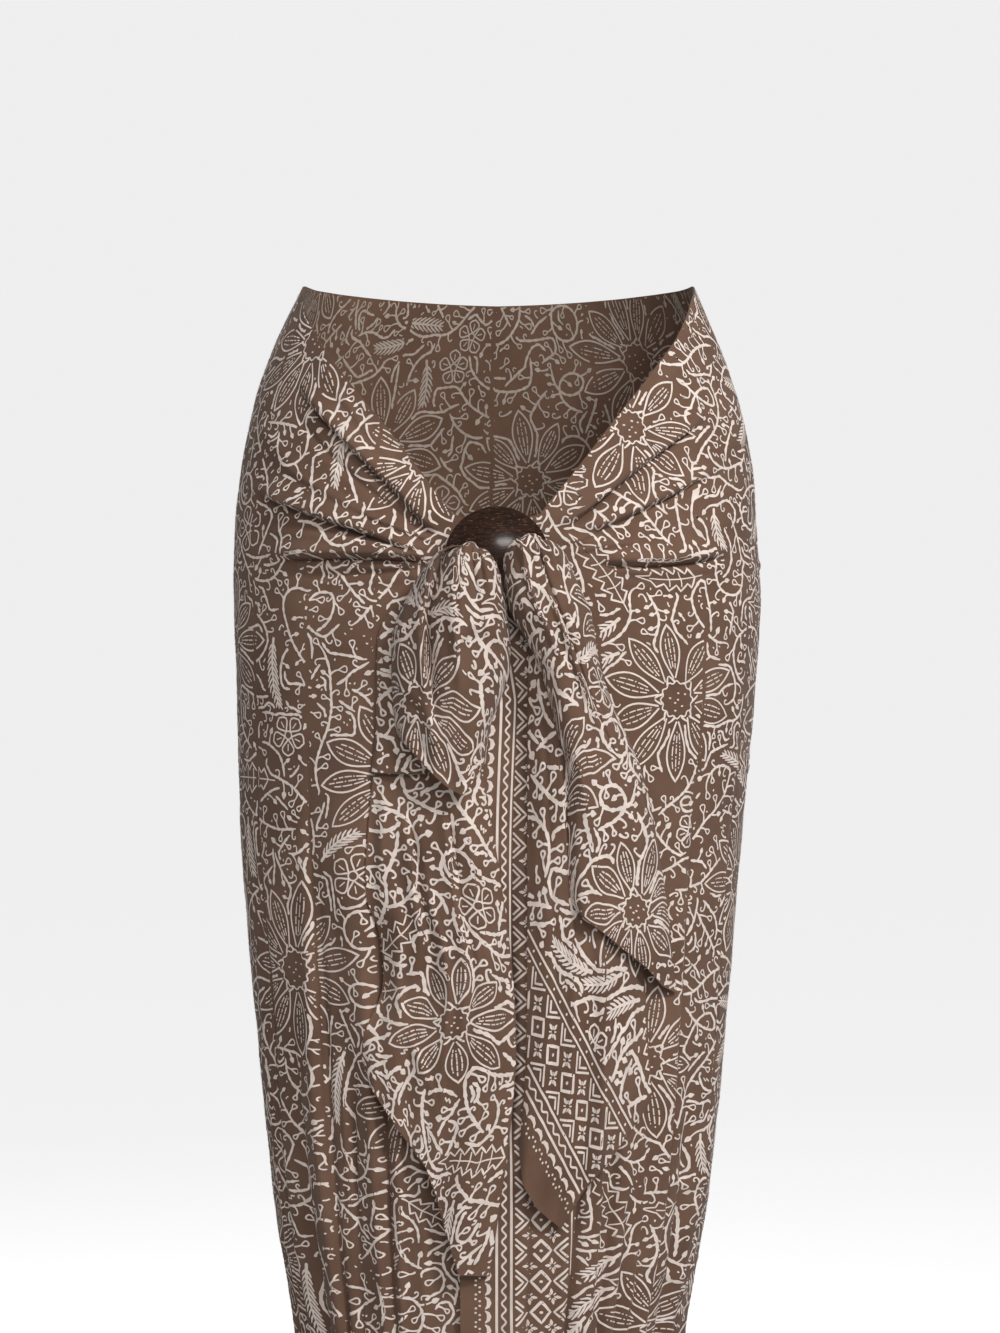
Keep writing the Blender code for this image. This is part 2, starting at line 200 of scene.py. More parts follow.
# Ridges that run from start past middle to end; the last column is the width of the
# lower or right side as a share of the other, so that a small one makes a sharp step
FOLDS = [
    # a0, z0, a1, z1, a2, z2, height, width, skew
    (-53, 105, -28, 52, -11, 1, 5.5, 8, 0.28),
    (-64, 33, -40, 15, -15, -9, 6, 9, 0.24),
    (-58, -12, -30, -12, -13, -14, 7, 9, 0.26),
    (-50, -40, -28, -36, -16, -30, -2.5, 8, 1),
    (56, 84, 32, 50, 12, 3, 5, 8, 0.28),
    (53, 46, 33, 22, 17, 2, 4.5, 8, 0.28),
    (60, -8, 38, -16, 20, -16, 5, 8, 0.28),
    (62, -30, 40, -40, 22, -34, -2, 8, 1),
    (-34, -150, -27, -420, -24, -910, 5.5, 14, 1),
    (-46, -250, -44, -520, -42, -930, 4, 15, 1),
    (-62, -330, -60, -620, -61, -955, 4.5, 15, 1),
    (-17, -240, -18, -520, -17, -890, 3, 10, 1),
    (4, -50, 4, -220, 3, -420, -10, 12, 1),
    (8, -260, 7, -500, 6, -870, 2.5, 10, 1),
    (21, -210, 23, -420, 25, -890, 5, 11, 1),
    (31, -300, 34, -560, 36, -915, 5.5, 11, 1),
    (46, -220, 46, -520, 50, -930, 4, 13, 1),
    (63, -300, 65, -600, 64, -955, 4.5, 14, 1),
    (82, -420, 84, -700, 82, -970, 4, 14, 1),
    (-82, -400, -80, -700, -83, -970, 4, 14, 1),
    (106, -180, 108, -520, 104, -970, 4.5, 16, 1),
    (129, -230, 127, -560, 130, -970, 5, 16, 1),
    (152, -180, 155, -520, 156, -970, 4.5, 16, 1),
    (176, -210, 179, -560, 177, -970, 5.5, 17, 1),
    (201, -190, 198, -560, 200, -970, 4.5, 16, 1),
    (226, -220, 229, -560, 227, -970, 5, 16, 1),
    (251, -200, 250, -520, 254, -970, 4.5, 16, 1),
]
CREASES = [
    # Narrow valleys under the folds of both swags
    (-54.5, 102, -29.5, 48.8, -12.2, -2.2, -3.4, 1.7, 1),
    (-64, 28.6, -40, 10.6, -15, -13.2, -4.2, 1.8, 1),
    (-58, -16.4, -30, -16.4, -14, -18.6, -4.2, 1.8, 1),
    (56.5, 80.2, 33, 46.2, 13, -0.6, -3.6, 1.7, 1),
    (53.5, 42, 33.8, 18.2, 17.8, -1.6, -3.4, 1.7, 1),
    (60, -12.2, 38, -20.2, 20, -20.2, -3.4, 1.8, 1),
    # Gathers beside the buckle
    (-27, 40, -19, 20, -11, 3, 1.8, 2, 0.5),
    (-29, 16, -20, 5, -12, -5, 1.7, 2, 0.5),
    (-29, -3, -20, -7, -12, -10, 1.7, 2, 0.5),
    (-27, -24, -20, -22, -13, -18, 1.6, 2, 0.5),
    (27, 38, 19, 20, 12, 6, 1.7, 2, 0.5),
    (29, 12, 21, 2, 14, -6, 1.6, 2, 0.5),
    (30, -5, 22, -8, 15, -12, 1.6, 2, 0.5),
    # Left swag, from the upper edge down
    (-46, 116, -27, 66, -10, 6, 1.4, 3, 0.7),
    (-56, 92, -33, 42, -12, -3, -2, 3, 1),
    (-62, 60, -37, 28, -13, -4, 1.8, 3.5, 0.6),
    (-66, 22, -39, 7, -15, -10, -1.8, 3, 1),
    (-60, 4, -37, -2, -16, -11, 1.3, 3, 0.6),
    (-52, -25, -29, -26, -13, -20, -3.2, 3, 1),
    (-72, 84, -58, 62, -42, 40, 0.9, 4, 0.7),
    (-76, 44, -62, 30, -48, 20, 0.8, 4, 0.7),
    # Right swag
    (50, 116, 30, 76, 11, 14, 1.2, 3, 0.7),
    (54, 38, 34, 14, 17, -4, -1.6, 2.6, 1),
    (31, -5, 21, -6, 12, -4, 1.3, 2.6, 0.6),
    (58, -22, 38, -29, 21, -26, -1.8, 3, 1),
    (70, 70, 58, 52, 46, 34, 0.9, 4, 0.7),
    (74, 22, 60, 10, 44, 2, 0.9, 4, 0.7),
    # Small level wrinkles at the sides
    (92, -14, 76, -20, 58, -15, 1.8, 3.4, 0.45),
    (93, -148, 78, -156, 58, -150, 1.8, 3.4, 0.45),
    (84, -168, 70, -173, 56, -170, 0.8, 3, 0.5),
    (82, -424, 62, -436, 44, -428, 2.2, 4, 0.45),
    (88, -444, 72, -452, 52, -447, 1.1, 3.5, 0.5),
    (86, -488, 66, -498, 48, -490, 2, 4, 0.45),
    (-90, -96, -66, -102, -38, -97, 0.8, 3, 0.5),
    (-88, -210, -70, -216, -44, -211, 0.7, 3, 0.5),
    (-86, -352, -66, -360, -50, -356, 1, 4, 0.5),
    (-84, -470, -64, -480, -50, -474, 1.2, 4, 0.5),
    # Long upright creases in front
    (4.2, -70, 4.1, -200, 4.1, -450, -2.6, 2.8, 1),
    (-22, -232, -25, -400, -30, -860, -3.6, 3.6, 1),
    (-19, -232, -21, -400, -26, -860, 3.4, 4.4, 0.4),
    (-15, -300, -16, -430, -18, -680, 1.5, 3.2, 0.6),
    (-36, -330, -36, -520, -38, -860, 2.8, 4.5, 0.5),
    (-41, -200, -41, -400, -43, -560, -3.4, 3.2, 1),
    (-31, -350, -36, -480, -40, -880, -3.8, 3.4, 1),
    (-68, -180, -66, -420, -66, -880, -2.8, 4, 1),
    (10, -440, 9, -560, 9, -860, -1.6, 3.4, 1),
    (34, -430, 36, -560, 37, -880, -3.4, 3.2, 1),
    (66, -440, 66, -600, 67, -900, -2.6, 4, 1),
    (-54, -300, -53, -520, -52, -880, -2.8, 4.4, 1),
    (-72, -260, -70, -520, -73, -900, 2.4, 5, 0.5),
    (14, -380, 13, -520, 12, -760, 1.4, 3.6, 0.6),
    (19, -330, 20, -460, 20, -740, -1.8, 3.2, 1),
    (25, -322, 26, -450, 28, -860, 3.4, 3.6, 0.4),
    (29, -345, 30, -470, 32, -860, -3.2, 3, 1),
    (38, -380, 40, -520, 42, -860, 2.8, 4, 0.5),
    (55, -350, 57, -520, 57, -860, -2.8, 4.4, 1),
    (74, -340, 73, -560, 75, -900, 1.5, 5, 0.7),
    # Back and sides, where the picture doesn't reach
    (100, 66, 124, 26, 150, 12, 1.2, 4, 0.6),
    (258, 62, 236, 24, 212, 14, 1.1, 4, 0.6),
    (104, 20, 132, -8, 160, -16, 1.3, 5, 0.6),
    (252, 14, 226, -12, 202, -18, 1.2, 5, 0.6),
    (108, -66, 138, -90, 168, -92, 1.3, 5, 0.6),
    (250, -74, 224, -94, 194, -95, 1.4, 5, 0.6),
    (126, -206, 154, -232, 184, -229, 1.6, 6, 0.6),
    (238, -212, 214, -238, 192, -240, 1.5, 6, 0.6),
    (118, -262, 117, -520, 119, -900, -2, 5.5, 1),
    (141, -300, 142, -540, 140, -930, -2.2, 5.5, 1),
    (165, -250, 166, -520, 168, -900, -2, 5.5, 1),
    (189, -320, 188, -560, 190, -940, -2.4, 5.5, 1),
    (214, -270, 213, -520, 212, -920, -2, 5.5, 1),
    (239, -300, 240, -560, 241, -930, -2.1, 5.5, 1),
    (96, -300, 95, -560, 97, -930, -1.8, 5, 1),
    (262, -280, 264, -560, 263, -940, -1.9, 5, 1),
    (147, -120, 148, -240, 150, -420, 1.2, 5, 0.6),
    (208, -110, 207, -250, 206, -440, 1.2, 5, 0.6),
]
FOLD_STEPS = 10
FOLD_START_TAPER = 0.25
FOLD_END_TAPER = 0.12
FOLD_REACH = 3
BELOW_KNEE = -700

# Pleats take up the cloth that the narrower legs don't need, so the print breaks there
PLEATS_OVER = [
    # angle, share of the spare cloth, depth, cloth tucked in below the buckle
    (4.1, 0.0, 1.5, 13),
    (16.6, 0.40, 2.6, 0),
    (47, 0.32, 2.0, 0),
    (68, 0.28, 1.8, 0),
]
PLEATS_BACK = [
    (107, 0.15, 1.8, 0),
    (131, 0.17, 2.2, 0),
    (155, 0.18, 2.2, 0),
    (181, 0.18, 2.4, 0),
    (205, 0.17, 2.2, 0),
    (229, 0.15, 2.0, 0),
]
PLEATS_UNDER = [
    (-64, 0.28, 1.8, 0),
    (-43, 0.32, 2.2, 0),
    (-25, 0.40, 2.6, 0),
]
PLEAT_WIDTH = 3.2
PLEAT_HALF_GAP = 0.17
PLEAT_STARTS = -90
TUCK_OPENS = (-440, -240)
PLEAT_FULL = -330

# Columns and rows of the wound cloth, finer where its folds are
FRONT_COLUMNS = 150
BACK_COLUMNS = 110
FRONT_ROW = 1.6
BACK_ROW = 3.2
WIDE_ROW = 6.0
FINE_FLOOR = -60
FINE_FROM = 95
FINE_DEPTH = 20
PLEAT_CLEARS = 0.3
ARC_STEP = 0.5
ARC_SPAN = (-20, 381)
ARC_LEVELS = 30
RIPPLES = [
    # height; what arc and z are divided by in one wave, and its phase; z and arc in the other
    (0.35, 13, 31, 0, 23, -41),
    (0.25, 7.3, -17, 1.3, 11, 29),
]
PLEAT_LIP = 0.8
PLEAT_LIP_OFF = 2.2 * PLEAT_WIDTH
PLEAT_LIP_WIDTH = 1.5 * PLEAT_WIDTH
# Layout for baking: margin, height, and width and start of the outer and inner halves
UV_EDGE = 0.005
UV_SPAN = 0.99
UV_HALF = 0.488
UV_SECOND = 0.502
CLOTH_SHARP_DEGREES = 70


def hermite(table, key, column=1):
    """Smooth value of a table column at the keys, as the solids use it."""
    rows = sorted(table)
    keys = np.array([row[0] for row in rows], float)
    values = np.array([row[column] for row in rows], float)
    slopes = np.gradient(values, keys)
    key = np.clip(key, keys[0], keys[-1])
    i = np.clip(np.searchsorted(keys, key) - 1, 0, len(keys) - 2)
    span = keys[i + 1] - keys[i]
    t = (key - keys[i]) / span
    start = (1 + 2 * t) * (1 - t) ** 2 * values[i] + t * (1 - t) ** 2 * span * slopes[i]
    end = t * t * (3 - 2 * t) * values[i + 1] + t * t * (t - 1) * span * slopes[i + 1]
    return start + end


def straight(table, key, column=1):
    """Straight-line value of a table column at the keys."""
    rows = sorted(table)
    return np.interp(key, [row[0] for row in rows], [row[column] for row in rows])


def smooth(low, high, value):
    """0 below low, 1 above high, and a soft step between them."""
    t = np.clip((value - low) / (high - low), 0.0, 1.0)
    return t * t * (3 - 2 * t)


def curve(start, middle, end, t):
    """Places at shares t of a curve from start past middle to end."""
    bend = 2 * middle - (start + end) / 2
    return (1 - t) ** 2 * start + 2 * t * (1 - t) * bend + t * t * end


def between(line, place):
    """Points of a line at places that are counted in its stretches."""
    i = np.clip(place.astype(int), 0, len(line) - 2)
    f = (place - i)[..., None]
    return line[i] * (1 - f) + line[i + 1] * f


def bilinear(table, row, column):
    """Values between the rows and columns of a table."""
    i = np.clip(row.astype(int), 0, table.shape[0] - 2)
    j = np.clip(column.astype(int), 0, table.shape[1] - 2)
    down = row - i
    along = column - j
    low = table[i, j] * (1 - along) + table[i, j + 1] * along
    high = table[i + 1, j] * (1 - along) + table[i + 1, j + 1] * along
    return low * (1 - down) + high * down


def ridge(points_a, points_z, row):
    """Height that one fold gives at the points; arc and height in millimetres."""
    a0, z0, a1, z1, a2, z2, height, width, skew = row
    t = np.linspace(0, 1, FOLD_STEPS + 1)
    arcs = curve(a0, a1, a2, t) * ARC_PER_DEGREE
    ups = curve(z0, z1, z2, t)
    out = np.zeros(len(points_a))
    reach = FOLD_REACH * width
    near = (points_a > arcs.min() - reach) & (points_a < arcs.max() + reach)
    near &= (points_z > ups.min() - reach) & (points_z < ups.max() + reach)
    if not near.any():
        return out
    ahead_a = points_a[near][:, None] - arcs[:-1]
    ahead_z = points_z[near][:, None] - ups[:-1]
    run_a = np.diff(arcs)
    run_z = np.diff(ups)
    share = np.clip((ahead_a * run_a + ahead_z * run_z) / (run_a ** 2 + run_z ** 2), 0, 1)
    off_a = ahead_a - share * run_a
    off_z = ahead_z - share * run_z
    dist = np.hypot(off_a, off_z)
    best = dist.argmin(axis=1)
    pick = np.arange(len(best)), best
    place = t[best] + share[pick] / FOLD_STEPS
    ends = np.minimum(1.0, place / FOLD_START_TAPER)
    if ups[-1] > BELOW_KNEE:
        ends *= np.minimum(1.0, (1 - place) / FOLD_END_TAPER)
    side = np.where(abs(z2 - z0) > 3 * abs(a2 - a0), off_a[pick], -off_z[pick])
    wide = np.where(side > 0, width * skew, width)
    out[near] = height * ends * np.exp(-(dist[pick] / wide) ** 2)
    return out


def relief(angle, z, pleats):
    """How far folds, creases and pleats lift the cloth, in millimetres."""
    flat_angle = angle.ravel()
    flat_z = z.ravel()
    total = np.zeros(len(flat_z))
    for turn in (-360, 0, 360):
        for row in FOLDS + CREASES:
            total += ridge((flat_angle + turn) * ARC_PER_DEGREE, flat_z, row)
    around = flat_angle * ARC_PER_DEGREE
    for height, arc_1, z_1, phase, z_2, arc_2 in RIPPLES:
        total += (height * np.sin(around / arc_1 + flat_z / z_1 + phase)
                  * np.sin(flat_z / z_2 + around / arc_2))
    total = total.reshape(angle.shape)
    for line, depth in pleats:
        off = (angle - line) * ARC_PER_DEGREE
        depth = depth * smooth(PLEAT_STARTS, PLEAT_FULL, z)
        total -= depth * np.exp(-(off / PLEAT_WIDTH) ** 2)
        total += PLEAT_LIP * depth * np.exp(-((off + PLEAT_LIP_OFF) / PLEAT_LIP_WIDTH) ** 2)
    return total


def hip_point(angle, z, out):
    """Points on the form that the cloth goes round, in metres."""
    half = hermite(RINGS, z, 1) + out
    side = np.sin(np.radians(angle))
    ahead = np.cos(np.radians(angle))
    depth = np.where(ahead > 0, hermite(RINGS, z, 3), hermite(RINGS, z, 4)) + out
    power = 2 / SQUARENESS
    x = hermite(RINGS, z, 2) + half * np.sign(side) * abs(side) ** power
    y = -depth * np.sign(ahead) * abs(ahead) ** power
    return np.stack([x, y, z + 0 * x], axis=-1) * MM


def cross_flat(a, b):
    return a[:, 0] * b[:, 1] - a[:, 1] * b[:, 0]


class Sheet:
    """A stretch of cloth: a grid of points, rows from the top, with its outward normals.

    cloth holds the place of each grid point on the flat cloth in millimetres, and
    hidden the columns of cells that lie inside a pleat, where no print shows.
    """

    def __init__(self, name, grid, cloth, hidden=()):
        self.name = name
        self.inner = grid
        self.cloth = cloth
        self.hidden = hidden
        normal = np.cross(np.gradient(grid, axis=1), -np.gradient(grid, axis=0))
        length = np.linalg.norm(normal, axis=2, keepdims=True)
        self.normal = normal / np.maximum(length, 1e-12)
        self.outer = grid + self.normal * CLOTH_THICKNESS * MM

    def cells(self):
        """The four corners of each grid cell, as indices."""
        rows, columns = self.inner.shape[:2]
        index = np.arange(rows * columns).reshape(rows, columns)
        return np.stack([index[:-1, :-1], index[1:, :-1], index[1:, 1:], index[:-1, 1:]], axis=-1)

    def place(self, points, inside, rows_to):
        """Puts flat points on a face: places in metres, normals, and which are on the cloth."""
        cells = self.cells()[:rows_to]
        shown = [c for c in range(cells.shape[1]) if c not in self.hidden]
        quads = cells[:, shown].reshape(-1, 4)
        triangles = np.concatenate([quads[:, [0, 1, 2]], quads[:, [0, 2, 3]]])
        flat = self.cloth.reshape(-1, 2)
        tree = BVHTree.FromPolygons([(u, v, 0.0) for u, v in flat], triangles.tolist())
        down = Vector((0, 0, -1))
        hits = [tree.ray_cast(Vector((u, v, 1)), down)[2] for u, v in points.tolist()]
        found = np.array([-1 if hit is None else hit for hit in hits])
        tri = triangles[found]
        a, b, c = (flat[tri[:, k]] for k in range(3))
        whole = cross_flat(b - a, c - a)
        whole = np.where(abs(whole) < 1e-9, 1e-9, whole)
        wb = cross_flat(points - a, c - a) / whole
        wc = cross_flat(b - a, points - a) / whole
        weights = np.stack([1 - wb - wc, wb, wc], axis=-1)[..., None]
        face = (self.inner if inside else self.outer).reshape(-1, 3)
        normals = (self.normal.reshape(-1, 3)[tri] * weights).sum(axis=1)
        normals *= -1 if inside else 1
        return (face[tri] * weights).sum(axis=1) + normals * PRINT_LIFT * MM, normals, found >= 0


def link(name, data):
    obj = bpy.data.objects.new(name, data)
    bpy.context.scene.collection.objects.link(obj)
    return obj


def make_object(name, verts, faces, material, uvs):
    mesh = bpy.data.meshes.new(name)
    mesh.from_pydata(verts.tolist(), [], faces.tolist())
    mesh.materials.append(material)
    layer = mesh.uv_layers.new(name="OFBake")
    layer.data.foreach_set("uv", np.asarray(uvs, dtype=np.float32).ravel())
    mesh.shade_smooth()
    mesh.validate()
    return link(name, mesh)


def shell_object(sheet, material):
    """The closed thin shell of a sheet: outer face, inner face and the cut edges."""
    rows, columns = sheet.inner.shape[:2]
    count = rows * columns
    index = np.arange(count).reshape(rows, columns)
    outer = sheet.cells().reshape(-1, 4)
    inner = outer[:, ::-1] + count
    edges = (index[0], index[:, -1], index[-1][::-1], index[:, 0][::-1])
    rim = np.concatenate([np.stack([edge[:-1], edge[1:], edge[1:] + count, edge[:-1] + count], axis=-1)
                          for edge in edges])
    across, down = np.meshgrid(np.linspace(0, 1, columns), np.linspace(1, 0, rows))
    left = np.stack([UV_EDGE + UV_HALF * across, UV_EDGE + UV_SPAN * down], axis=-1).reshape(-1, 2)
    uv = np.concatenate([left, left + [UV_SECOND, 0]])
    obj = make_object(sheet.name, np.concatenate([sheet.outer.reshape(-1, 3), sheet.inner.reshape(-1, 3)]),
                      np.concatenate([outer, inner, rim]), material,
                      uv[np.concatenate([outer, inner, rim % count])])
    obj.data.set_sharp_from_angle(angle=math.radians(CLOTH_SHARP_DEGREES))
    return obj


def wrap_rows(top, hem, row):
    """Heights of the rows of each column: close together above, wider below."""
    fine = int(round((FINE_FROM - FINE_FLOOR) / row))
    wide = int(round((FINE_FLOOR - HEM_LEVEL) / WIDE_ROW))
    floor = np.minimum(FINE_FLOOR, top - FINE_DEPTH)[None, :]
    up = np.linspace(0, 1, fine + 1)[:, None]
    low = np.linspace(0, 1, wide + 1)[1:, None]
    return np.concatenate([top + (floor - top) * up, floor + (hem - floor) * low])


def arc_table():
    """Distance round the form from the first angle, for each of some heights."""
    angle, z = np.meshgrid(np.arange(*ARC_SPAN, ARC_STEP), np.linspace(HEM_LEVEL, HIP_Z, ARC_LEVELS))
    steps = np.linalg.norm(np.diff(hip_point(angle, z, 0), axis=1), axis=2) / MM
    return np.concatenate([np.zeros((ARC_LEVELS, 1)), steps.cumsum(axis=1)], axis=1)


ARCS = arc_table()


def arc(angle, z):
    """Distance round the form to an angle at a height; above the hips as at the hips."""
    level = (np.clip(z, HEM_LEVEL, HIP_Z) - HEM_LEVEL) / (HIP_Z - HEM_LEVEL) * (ARC_LEVELS - 1)
    return bilinear(ARCS, level, (angle - ARC_SPAN[0]) / ARC_STEP)


def wrap_sheet(name, start, end, count, row, pleats, top, hem, whole_turn=0, slanted=False,
               sunk=False):
    """A stretch that goes round the hips, with its place on the flat cloth.

    Flat places are measured from the bordered short edge: to the right round the
    hips, and down. whole_turn is what an angle lacks of the way round from that edge.
    """
    nominal = np.linspace(start, end, count + 1)
    for line in [pleat[0] for pleat in pleats]:
        nominal = nominal[abs(nominal - line) > PLEAT_CLEARS]
        nominal = np.concatenate([nominal, [line - PLEAT_HALF_GAP, line + PLEAT_HALF_GAP]])
    nominal = np.sort(nominal)
    strips = [int(np.searchsorted(nominal, pleat[0])) - 1 for pleat in pleats]
    z = wrap_rows(top(nominal), hem(nominal), row)
    hips = np.full_like(z, HIP_Z)

    def turned(angle):
        if not slanted:
            return angle + 0 * z
        first = straight(OVER_END, z)
        return first + (end - first) * (angle - start) / (end - start)

    def way(angle, height):
        first = straight(OVER_END, height) if slanted else start + whole_turn + 0 * z
        return arc(angle + whole_turn + 0 * z, height) - arc(first, height)

    angle = turned(nominal[None, :])
    lines = [(turned(pleat[0]), pleat[2]) for pleat in pleats]
    sink = UNDER_DEPTH * smooth(*UNDER_SINKS, angle) if sunk else 0.0
    grid = hip_point(angle, z, relief(angle, z, lines) + CLOTH_INSET - sink)
    across = way(angle, z)
    spare = way(end, hips) - way(end, z)
    for pleat in pleats:
        taken = pleat[1] * spare + pleat[3] * smooth(*TUCK_OPENS, z)
        across = across + taken * (nominal > pleat[0])[None, :]
    if not slanted:
        across = across + arc(start + whole_turn + 0 * z, hips) - arc(straight(OVER_END, hips), hips)
    return Sheet(name, grid, np.stack([across, -z], axis=-1), strips)


def build_wraps():
    """The three stretches round the hips: at the back, and the two in front."""
    def top_back(angle):
        return hermite(TOP_EDGE, np.minimum(angle, 360 - angle))

    def top_front(side, across):
        return lambda angle: np.where(side * angle > V_FOOT, hermite(TOP_EDGE, side * angle),
                                      straight(across, angle))

    def hem_back(angle):
        return HEM_LEVEL + 0 * angle

    def hem_front(angle):
        return hermite(HEM_EDGE, angle)

    return {
        "wrap_back": wrap_sheet("cloth_back", 90 + SEAM_DEGREES, 270 - SEAM_DEGREES, BACK_COLUMNS,
                                BACK_ROW, PLEATS_BACK, top_back, hem_back),
        "wrap_front_under": wrap_sheet("cloth_front_under", -90, UNDER_END, FRONT_COLUMNS, FRONT_ROW,
                                       PLEATS_UNDER, top_front(-1, TOP_UNDER_ACROSS), hem_front,
                                       whole_turn=360, sunk=True),
        "wrap_front_over": wrap_sheet("cloth_front_over", OVER_END[0][1], 90, FRONT_COLUMNS, FRONT_ROW,
                                      PLEATS_OVER, top_front(1, TOP_OVER_ACROSS), hem_front, slanted=True),
    }


# Hanging ends, as the solids have them, with small creases of their own
ARCH_POWER = 0.8
CROWN_POWER = 0.3
CROWN_LOBES = 0.30
CROWN_FADES = (0.45, 0.6)
CROWN_TURNS = 2.5
CROWN_START = 0.4
GATHER_SWAY = 0.03
GATHER_TURNS = 9
GATHER_POWER = 0.8
EDGE_TURN = 0.85
EDGE_ROLL = 0.035
TURN_LIMIT = 9
LEAST_STAND = 0.6
INSIDE_POWER = 0.6
WAVES_SET_IN = (0.12, 0.3)
GATHERS_FADE = (0.3, 0.75)
EDGE_SETS_IN = (0.62, 1.0)
STATION_EASES = 0.25
CREASE_UPRIGHT = 0.15
CREASE_POINTS = 9
CREASE_OUT = 0.02
CREASE_IN = 0.10
LEVEL_SHARE = 0.8
FROM_HOLES = ("tail_left_bundle", "tail_right_flap")
HOLE_STATIONS = 2.2
HOLE_ROWS = 6
CLOTH_EASES = 10
